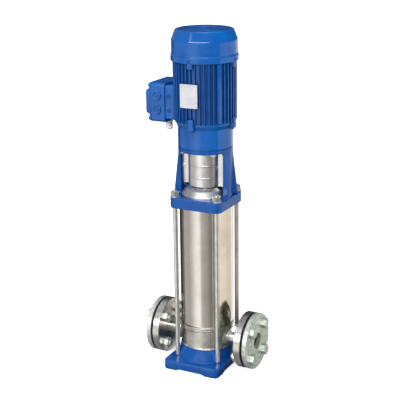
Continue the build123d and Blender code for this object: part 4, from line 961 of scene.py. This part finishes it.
def swell(angle, at, half_width, flank, reach):
    """1 within half a width (mm, at the radius of reach) of a direction, eased to 0 over the flank."""
    off = (angle - np.radians(at - 90) + np.pi) % (2 * np.pi) - np.pi
    t = np.clip((half_width + flank - np.abs(off) * reach) / flank, 0, 1)
    return t * t * (3 - 2 * t)


def finned_section(angle):
    """How far the motor frame stands out of its root at each angle: fins and rails, eased."""
    s = bpy.context.scene.pump_shapes
    fin, pitch, height = in_mm(s.fin_thick), np.degrees(s.fin_pitch), in_mm(s.fin_height)
    reach = HOUSING_R + height * 0.6
    from_middle = [i * pitch for i in range(6)] + [90 - i * pitch for i in range(4)]
    sides = [(q, side) for q in (0, 180) for side in (-1, 1)]
    fins = [(q + side * a, fin / 2 - 0.9, 1.7) for q, side in sides for a in from_middle]
    rails = [(q + side * RAIL_ANGLE, RAIL_HALF, 1.3) for q, side in sides]
    return height * np.max([swell(angle, *one, reach) for one in fins + rails], axis=0)


def finned_frame():
    """Stator frame: the finned section carried up the shaft, its fins rounded off at both ends."""
    angle = evenly(1800)
    fins = finned_section(angle)
    stations = [(0, 0.02)] + [(0.4 + FIN_END * (1 - np.cos(a)), np.sin(a))
                              for a in np.radians(np.linspace(10, 90, 6))]
    rows = [around(HOUSING_R + fins * share, angle, SHIELD_TOP + up) for up, share in stations]
    rows += [around(HOUSING_R + fins * share, angle, MOTOR_TOP - up) for up, share in stations[::-1]]
    rows += [around(HOUSING_R - 5, angle, height) for height in (MOTOR_TOP, SHIELD_TOP)]
    return shell(np.stack(rows), ring=True)


class PUMP_OT_motor_frame(bpy.types.Operator):
    """Finned stator frame with its lugs, the terminal box saddle and the nameplate's posts"""
    bl_idname = "pump.motor_frame"
    bl_label = "Motor frame"

    def execute(self, context):
        parts = [finned_frame()]
        parts += four_lugs(SHIELD_TOP, SHIELD_TOP + LUG_HEIGHT)
        parts += four_lugs(MOTOR_TOP - LUG_HEIGHT, MOTOR_TOP)
        saddle_low, saddle_top = max(BOX_LOW + 8, SHIELD_TOP + 2), BOX_TOP - 4
        tall = (saddle_top - saddle_low) / 2
        saddle = shell(carried(inset_rectangle(tall, BOX_HALF_Y - 3, 4, 7),
                               edged(52, BOX_BACK, 0.3, 1.2)))
        parts.append(moved(saddle, (0, 0, saddle_low + tall), lay="-x"))
        face = -high("nameplate", Y) - 0.1
        post = rounded([(0.5, 66), (3.4, 66), (3.0, face), (0.5, face)], (0, 0, 0.5, 0))
        post = shell(turning(post, 28))
        plate_x, plate_z = middle("nameplate", X), middle("nameplate", Z)
        parts += [moved(post, (plate_x + x, 0, plate_z + z), lay="-y")
                  for x in (-POST_X, POST_X) for z in (-POST_Z, POST_Z)]
        piece("finned_frame", parts, "motor_enamel", ["stator_housing"])
        return {"FINISHED"}


class PUMP_OT_end_shield(bpy.types.Operator):
    """Drive end shield between the lantern and the motor frame"""
    bl_idname = "pump.end_shield"
    bl_label = "Drive end shield"

    def execute(self, context):
        web = SEAM + 14
        body = lathed([(14, SEAM), (SHIELD_R, SEAM), (SHIELD_R, SHIELD_TOP - 14),
                       (HOUSING_R, SHIELD_TOP - 5), (HOUSING_R, SHIELD_TOP), (62, SHIELD_TOP),
                       (59, SHIELD_TOP - 12), (59, web), (14, web)],
                      (0, 1.0, 8, 3, 0.6, 0.5, 1, 4, 0), 144)
        lugs = four_lugs(SHIELD_TOP - LUG_HEIGHT, SHIELD_TOP)
        piece("drive_end_casting", [body] + lugs, "motor_enamel", ["drive_end_shield"])
        return {"FINISHED"}


# ---------------------------------------------------------------- fan cover
COVER_WALL = 1.6
COVER_LIP = 2.1
COVER_SLOPE = 9.2
COVER_STEP = 15.5
COVER_SHOULDER = 49.5
COVER_HUB_R = 6.0
SLOT_INSET = 12.0
SLOT_RINGS, SLOT_PITCH = 5, 10.5
SLOT_EDGE, SLOT_DROP = 0.35, 0.25
BRIDGES = 6
SECTOR = 22


def fan_cover_sheet():
    """Pressed cover: a turned skin whose flat top is pierced by ring slots between straight bridges.

    Columns gather along the six bridge edges: at radius r an edge lies asin(half width / r) beside
    the bridge's middle.
    """
    s = bpy.context.scene.pump_shapes
    slot, bridge = in_mm(s.grille_slot), in_mm(s.grille_bridge)
    step, shoulder = MOTOR_TOP + COVER_STEP, MOTOR_TOP + COVER_SHOULDER
    cover_r = COVER_LIP_R - COVER_LIP
    top_r = cover_r - COVER_SLOPE
    side = rounded([(COVER_LIP_R, MOTOR_TOP), (COVER_LIP_R, step - 2.6), (cover_r, step + 0.4),
                    (cover_r, shoulder - 1), (top_r, COVER_TOP), (top_r - 11, COVER_TOP)],
                   (0, 1.6, 1.6, 14, 5.5, 0), 9, ring=False)
    rings = [top_r - SLOT_INSET - i * SLOT_PITCH for i in range(SLOT_RINGS)]
    outer = [side]
    for r in rings:
        outer += [[(r + SLOT_EDGE, COVER_TOP), (r, COVER_TOP - SLOT_DROP)],
                  [(r - slot, COVER_TOP - SLOT_DROP), (r - slot - SLOT_EDGE, COVER_TOP)]]
    outer = np.vstack(outer + [[(COVER_HUB_R, COVER_TOP)]])
    along = np.gradient(outer, axis=0)
    along /= np.linalg.norm(along, axis=1)[:, None]
    inner = outer + np.column_stack([-np.abs(along[:, 1]), -np.abs(along[:, 0])]) * COVER_WALL
    inner[:, 1] = np.maximum(inner[:, 1], MOTOR_TOP)
    flat = outer[:, 1] > COVER_TOP - 0.3
    inner[flat, 1] = COVER_TOP - COVER_WALL
    inner[flat, 0] = outer[flat, 0]
    r = np.minimum(outer[:, 0], top_r)
    edge = np.degrees(np.arcsin(np.clip(bridge / 2 / r, 0, 0.5)))[:, None]
    apart = 360 / BRIDGES
    spread = edge + (apart - 2 * edge) * np.arange(SECTOR) / SECTOR
    sector = np.concatenate([-edge, 0 * edge, spread], axis=1) + apart / 2
    angle = np.radians(np.concatenate([sector + k * apart for k in range(BRIDGES)], axis=1))
    between = (outer[1:, 0] + outer[:-1, 0]) / 2
    slots = np.zeros(len(between), bool)
    for r in rings:
        slots |= (between < r - 0.05) & (between > r - slot + 0.05) & (outer[1:, 1] > COVER_TOP - 1)
    keep = np.ones((len(outer) - 1, angle.shape[1]), bool)
    keep[slots] = np.tile(np.arange(SECTOR + 2) < 2, BRIDGES)
    sheet = pierced(*[around(side[:, :1], angle, side[:, 1:]) for side in (outer, inner)], keep)
    under = COVER_TOP - COVER_WALL
    hub = turning([(0.4, under), (COVER_HUB_R, under), (COVER_HUB_R, COVER_TOP), (0.4, COVER_TOP)], 48)
    return [sheet, shell(hub)]


class PUMP_OT_fan_cover(bpy.types.Operator):
    """Fan cover with its stepped lip, sloped shoulder and slotted top"""
    bl_idname = "pump.fan_cover"
    bl_label = "Fan cover"

    def execute(self, context):
        piece("fan_cover_shell", fan_cover_sheet(), "motor_enamel", ["fan_cover"])
        return {"FINISHED"}


# ---------------------------------------------------------------- terminal box
LID_BORDER = 6.5
PLUG_Z = 17.0
PLUG_R = 11.6
RAISED_HALF = (30, 46)


class PUMP_OT_terminal_box(bpy.types.Operator):
    """Terminal box with its lid and blanking plugs"""
    bl_idname = "pump.terminal_box"
    bl_label = "Terminal box"

    def execute(self, context):
        half_z, at = (BOX_TOP - BOX_LOW) / 2, (0, 0, middle("terminal_box", Z))
        rim = inset_rectangle(half_z, BOX_HALF_Y, 8)
        lid_low, lid_top = BOX_FRONT + 0.35, BOX_FRONT + LID_BORDER
        tray = shell(carried(rim, edged(BOX_BACK, BOX_FRONT, 2, 0.5)))
        raised = inset_rectangle(*RAISED_HALF, 8)
        lid = [shell(carried(rim, edged(lid_low, lid_top, 0.5, 2.6, 6))),
               shell(carried(raised, edged(lid_top - 1, LID_FACE, 0.1, 4.0, 7))),
               shell(carried(inset_rectangle(half_z - 0.8, BOX_HALF_Y - 0.8, 7.2),
                             edged(BOX_FRONT - 0.5, BOX_FRONT + 0.5, 0.1, 0.1)))]
        piece("terminal_tray", [moved(tray, at, lay="-x")], "motor_enamel", ["terminal_box"])
        piece("terminal_lid", [moved(part, at, lay="-x") for part in lid], "motor_enamel",
              ["terminal_box_lid"])
        head = rounded([(0.5, -3), (9.4, -3), (9.4, 0), (PLUG_R, 0), (PLUG_R, 3.5), (8.6, 3.5), (7, 2),
                        (0.5, 2)], (0, 0, 0, 0.2, 1.1, 0.6, 0.6, 0))
        head = shell(turning(head, 64))
        slot_bar = shell(carried(inset_rectangle(6.2, 1.0, 0.9), edged(1.5, 2.7, 0.1, 0.4)))
        plugs = [moved(part, (middle("entry_plugs", X), -BOX_HALF_Y, at[2] + z), lay="-y")
                 for z in (-PLUG_Z, PLUG_Z) for part in (head, slot_bar)]
        piece("blanking_plugs", plugs, "motor_enamel", ["entry_plugs"])
        return {"FINISHED"}


class PUMP_OT_gland(bpy.types.Operator):
    """Cable gland under the terminal box, with a hexagon body and a ribbed nut"""
    bl_idname = "pump.gland"
    bl_label = "Cable gland"

    def execute(self, context):
        x, top, foot = middle("cable_gland", X), BOX_LOW, low("cable_gland", Z)
        body = moved(shell(nut_grid(18, 7.5)), (x, 0, top - 7.5))
        neck = moved(shell(turning([(7.4, top - 10), (7.4, top)], 40)), (x, 0, 0))
        profile = rounded([(9, top - 9.2), (9, foot + 5), (6.2, foot), (4, foot), (4, top - 9.2)],
                          (0.8, 2, 0.8, 0.3, 0), 6)
        v, r, z = evenly(96), profile[:, :1], profile[:, 1:]
        ribbed = (r > 8.5) & (z < top - 11)
        nut = shell(around(r - 0.35 * ribbed * (0.5 + 0.5 * np.cos(16 * v)), v, z), ring=True)
        piece("gland_with_nut", [body, neck, moved(nut, (x, 0, 0))], "gland_plastic", ["cable_gland"])
        return {"FINISHED"}


class PUMP_OT_nameplate(bpy.types.Operator):
    """Bare nameplate with a pressed border"""
    bl_idname = "pump.nameplate"
    bl_label = "Nameplate"

    def execute(self, context):
        x, z = middle("nameplate", X), middle("nameplate", Z)
        half_x, half_z = high("nameplate", X) - x, high("nameplate", Z) - z
        back, face = -high("nameplate", Y), -low("nameplate", Y)

        def outline(inset):
            """The plate's edge, which keeps a small corner however far it is drawn in."""
            return round_rectangle(half_x - inset, half_z - inset, max(2 - inset, 0.4), 6)

        rows = [(0.4, back), (0, back + 0.1), (0, face - 0.15), (0.15, face), (1.6, face),
                (1.9, face - 0.2), (2.3, face - 0.2), (2.6, face), (3.2, face)]
        plate = shell(carried(outline, rows))
        piece("bare_nameplate", [moved(plate, (x, 0, z), lay="-y")], "plate_aluminium", ["nameplate"])
        return {"FINISHED"}


# ---------------------------------------------------------------- studio
CAMERA_TURN = 27.044
CAMERA_REACH = 2438.843
CAMERA_HEIGHT = 1154.551
CAMERA_YAW = 0.352
CAMERA_PITCH = 16.709
CAMERA_ROLL = -0.731
SENSOR_WIDTH = 36
FAR_CLIP = 60
# Softboxes: name, azimuth, then reach, height, width and tallness in metres, the setting of the
# power, and the height aimed at.
SOFTBOXES = (("key_softbox", -12, 1.8, 2.3, 1.6, 1.6, "key", 0.4),
             ("fill_softbox", -75, 1.8, 1.1, 1.4, 1.8, "fill", 0.4),
             ("side_softbox", 95, 1.1, 0.95, 0.6, 0.6, "side", 0.65),
             ("back_softbox", 215, 2.2, 1.6, 1.6, 1.6, "fill", 0.4),
             ("top_softbox", 0, 0.01, 3.0, 2.2, 2.2, "top", 0.0))
# Strips of the tent around the pump: (azimuth, brightness, warmth), eased from one to the next.
STRIPS = ((-180, 0.60, 0), (-150, 0.10, 0), (-124, 0.04, 0), (-108, 0.06, 0), (-97, 0.40, 0),
          (-86, 0.58, 0), (-52, 0.58, 0), (-36, 0.92, 0), (-20, 1.32, 0), (-5, 1.36, 0), (4, 0.76, 0.1),
          (12, 0.60, 0.1), (26, 0.52, 0.1), (38, 0.36, 0.2), (52, 0.24, 0.3), (80, 0.22, 0.5),
          (83, 1.22, 0.8), (110, 1.15, 1), (128, 1.02, 1), (146, 1.00, 0.8), (162, 1.05, 0.5),
          (170, 1.5, 0.2))
WARM = np.array([1.0, 0.91, 0.78])
# Tilt of the strips' lower edge, which rises between two azimuths, and the fade at their upper edge.
STRIP_FOOT = (95, 125, -31, -25.0)
STRIP_TOP = (-3, 0)
# Below and above the strips the tent is dark, and less so in front.
DARK, DARK_FRONT = (0.05, 0.055, 0.065, 1), (0.30, 0.31, 0.33, 1)
FRONT = (-135, 60, 8)
# The pale roof and the bright zenith begin at these tilts.
ROOF, ROOF_TILT = "c4cbd6", (38, 60)
ZENITH, ZENITH_TILT = (3.4, 3.4, 3.4, 1), (74, 79)
# Bright panels seen in the metal: azimuths, tilts, each with its soft edge, and brightness.
PANELS = (((-40, 38, 3), (44, 55, 1.5), 2.2), ((-31, 42, 3), (13, 29, 1.5), 9.0))


def heading(turn):
    """Level direction at an azimuth: 0 is the front, -Y, and 90 is +X."""
    a = np.radians(turn)
    return np.array([np.sin(a), -np.cos(a), 0.0])


def studio_camera():
    """Camera level with its place on a circle about the pump, then pitched down and rolled a little."""
    settings = bpy.context.scene.pump_studio
    data = bpy.data.cameras.new("product_camera")
    data.lens = settings.lens
    data.sensor_width = SENSOR_WIDTH
    data.clip_end = FAR_CLIP
    turn, pitch, roll = np.radians([CAMERA_TURN + CAMERA_YAW, CAMERA_PITCH, CAMERA_ROLL])
    ahead = np.array([-np.sin(turn) * np.cos(pitch), np.cos(turn) * np.cos(pitch), -np.sin(pitch)])
    right = np.array([np.cos(turn), np.sin(turn), 0])
    up = np.cross(right, ahead)
    across = np.cos(roll) * right + np.sin(roll) * up
    upward = -np.sin(roll) * right + np.cos(roll) * up
    place = (heading(CAMERA_TURN) * CAMERA_REACH + [0, 0, CAMERA_HEIGHT]) * MM
    camera = bpy.data.objects.new("product_camera", data)
    frame_rows = np.column_stack([across, upward, -ahead, place]).tolist()
    camera.matrix_world = Matrix(frame_rows + [[0, 0, 0, 1]])
    bpy.context.scene.collection.objects.link(camera)
    bpy.context.scene.camera = camera


def softbox(name, turn, reach, height, width, tall, power, aim):
    """Area light at an azimuth, reach and height in metres, aimed at the shaft."""
    data = bpy.data.lights.new(name, "AREA")
    data.shape = "RECTANGLE"
    data.size, data.size_y, data.energy = width, tall, power
    light = bpy.data.objects.new(name, data)
    place = Vector((heading(turn) * reach + [0, 0, height]).tolist())
    look = Vector((0, 0, aim)) - place
    light.matrix_world = Matrix.Translation(place) @ look.to_track_quat("-Z", "Y").to_matrix().to_4x4()
    light.visible_glossy = False
    bpy.context.scene.collection.objects.link(light)


def maths(tree, first, second, operation="MULTIPLY"):
    """One sum of two values or sockets."""
    node = add(tree, "ShaderNodeMath", operation=operation)
    for socket, value in zip(node.inputs, (first, second)):
        plug(tree, socket, value)
    return node.outputs[0]


def in_radians(degrees):
    """Angles in radians, as a list."""
    return np.radians(degrees).tolist()


def window(tree, value, start, end, soft):
    """1 between two angles in degrees and 0 outside them, eased over a soft edge."""
    start, end, soft = in_radians((start, end, soft))
    rise = ramp(tree, value, start - soft, start + soft, 0, 1)
    return maths(tree, rise, ramp(tree, value, end - soft, end + soft, 1, 0))


def light_tent(strength):
    """Room as a tent of soft strips: brightness by azimuth, an even roof, and two bright panels.

    Azimuth is atan2(x, -y) and tilt is asin(z) of the direction looked in.
    """
    world = bpy.data.worlds.new("light_tent")
    world.use_nodes = True
    tree = world.node_tree
    tree.nodes.clear()
    direction = add(tree, "ShaderNodeTexCoord").outputs["Generated"]
    split = add(tree, "ShaderNodeSeparateXYZ", {"Vector": direction}).outputs
    turn = maths(tree, split["X"], maths(tree, split["Y"], -1), "ARCTAN2")
    tilt = maths(tree, split["Z"], 0, "ARCSINE")
    strips = add(tree, "ShaderNodeValToRGB", {"Fac": ramp(tree, turn, -np.pi, np.pi, 0, 1)})
    stops = strips.color_ramp.elements
    for _ in STRIPS[2:]:
        stops.new(0.5)
    for stop, (azimuth, brightness, warmth) in zip(stops, STRIPS):
        stop.position = (azimuth + 180) / 360
        stop.color = (*(brightness * (1 + (WARM - 1) * warmth)).tolist(), 1)
    foot = ramp(tree, turn, *in_radians(STRIP_FOOT))
    band = maths(tree, ramp(tree, maths(tree, tilt, foot, "SUBTRACT"), -0.02, 0.02, 0, 1),
                 ramp(tree, tilt, *in_radians(STRIP_TOP), 1, 0))
    dark = mixed(tree, window(tree, turn, *FRONT), DARK, DARK_FRONT)
    room = mixed(tree, band, dark, strips.outputs[0])
    room = mixed(tree, ramp(tree, tilt, *in_radians(ROOF_TILT), 0, 1), room, linear(ROOF))
    room = mixed(tree, ramp(tree, tilt, *in_radians(ZENITH_TILT), 0, 1), room, ZENITH)
    for across, up, brightness in PANELS:
        panel = maths(tree, window(tree, turn, *across), window(tree, tilt, *up))
        room = mixed(tree, panel, room, (brightness, brightness, brightness, 1))
    glow = add(tree, "ShaderNodeBackground", {"Color": room, "Strength": strength})
    add(tree, "ShaderNodeOutputWorld", {"Surface": glow.outputs[0]})
    bpy.context.scene.world = world


FLOOR_REACH = 40.0
DOME_R = 38e3


def screen(name, verts, faces, mat):
    """Part of the studio that the camera sees, but neither the metal nor the indirect light."""
    mesh = bpy.data.meshes.new(name)
    mesh.from_pydata(verts, [], faces)
    mesh.materials.append(mat)
    obj = bpy.data.objects.new(name, mesh)
    bpy.context.scene.collection.objects.link(obj)
    obj.visible_glossy = False
    obj.visible_diffuse = False
    return obj


def studio_floor():
    """Flat pale floor, wide enough to fill the view, with a very slight mottle."""
    mat, tree, place = fresh("pale_floor")
    c = bpy.context.scene.pump_colours
    tone = mixed(tree, grain(tree, place, 400, 2), c.floor[:], linear("ffffff"))
    close(mat, tree, add(tree, "ShaderNodeBsdfPrincipled",
                         {"Base Color": tone, "Roughness": 0.85, "Specular IOR Level": 0.1,
                          "Emission Color": (1, 1, 1, 1), "Emission Strength": 0.6}))
    reach = FLOOR_REACH
    floor = screen("studio_floor", [(-reach, -reach, 0), (reach, -reach, 0), (reach, reach, 0),
                                    (-reach, reach, 0)], [(0, 1, 2, 3)], mat)


def studio_backdrop():
    """White half dome (r cos e, r sin e) turned about the upright, far behind the floor."""
    mat, tree, place = fresh("white_backdrop")
    tone = mixed(tree, grain(tree, place, 900, 2), linear("fafafa"), linear("ffffff"))
    close(mat, tree, add(tree, "ShaderNodeEmission", {"Color": tone, "Strength": 1.2}))
    e = np.radians(np.linspace(0, 89.5, 24))
    verts, faces = shell(turning(np.column_stack([DOME_R * np.cos(e), DOME_R * np.sin(e) - 1]), 64))
    dome = screen("studio_backdrop", (verts * MM).tolist(),
                  [face for block in faces for face in block.tolist()], mat)
    dome.visible_shadow = False


class PUMP_OT_studio(bpy.types.Operator):
    """Pale floor, soft lights and the camera"""
    bl_idname = "pump.studio"
    bl_label = "Studio"

    def execute(self, context):
        scene = context.scene
        settings = scene.pump_studio
        scene.view_settings.view_transform = "Standard"
        scene.view_settings.look = "None"
        studio_floor()
        studio_backdrop()
        light_tent(settings.sky)
        for name, turn, reach, height, width, tall, setting, aim in SOFTBOXES:
            softbox(name, turn, reach, height, width, tall, getattr(settings, setting), aim)
        studio_camera()
        return {"FINISHED"}


# ---------------------------------------------------------------- panel and registration
OPERATORS = (PUMP_OT_finishes, PUMP_OT_base, PUMP_OT_port_body, PUMP_OT_port_bolting,
             PUMP_OT_sleeve, PUMP_OT_tie_rods, PUMP_OT_seal_housing, PUMP_OT_lantern,
             PUMP_OT_guard, PUMP_OT_end_shield, PUMP_OT_motor_frame, PUMP_OT_fan_cover,
             PUMP_OT_terminal_box, PUMP_OT_gland, PUMP_OT_nameplate, PUMP_OT_studio)


class PUMP_PT_panel(bpy.types.Panel):
    bl_idname = "PUMP_PT_panel"
    bl_label = "Vertical multistage pump"
    bl_space_type = "VIEW_3D"
    bl_region_type = "UI"
    bl_category = "Pump"

    def draw(self, context):
        for group in ("pump_shapes", "pump_colours", "pump_studio"):
            settings = getattr(context.scene, group)
            box = self.layout.box()
            for name in settings.__annotations__:
                box.prop(settings, name)
        for operator in OPERATORS:
            self.layout.operator(operator.bl_idname)


GROUPS = (PumpShapes, PumpColours, PumpStudio)
CLASSES = GROUPS + OPERATORS + (PUMP_PT_panel,)


def register():
    """Register the classes and hang the settings on the scene."""
    for cls in CLASSES:
        bpy.utils.register_class(cls)
    bpy.types.Scene.pump_shapes = bpy.props.PointerProperty(type=PumpShapes)
    bpy.types.Scene.pump_colours = bpy.props.PointerProperty(type=PumpColours)
    bpy.types.Scene.pump_studio = bpy.props.PointerProperty(type=PumpStudio)


def unregister():
    """Take the settings and the classes away again."""
    for name in ("pump_studio", "pump_colours", "pump_shapes"):
        delattr(bpy.types.Scene, name)
    for cls in reversed(CLASSES):
        bpy.utils.unregister_class(cls)


def main():
    """Run every operator in order."""
    register()
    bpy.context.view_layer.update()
    for operator in OPERATORS:
        group, name = operator.bl_idname.split(".")
        getattr(getattr(bpy.ops, group), name)()


if __name__ == "__main__":
    main()
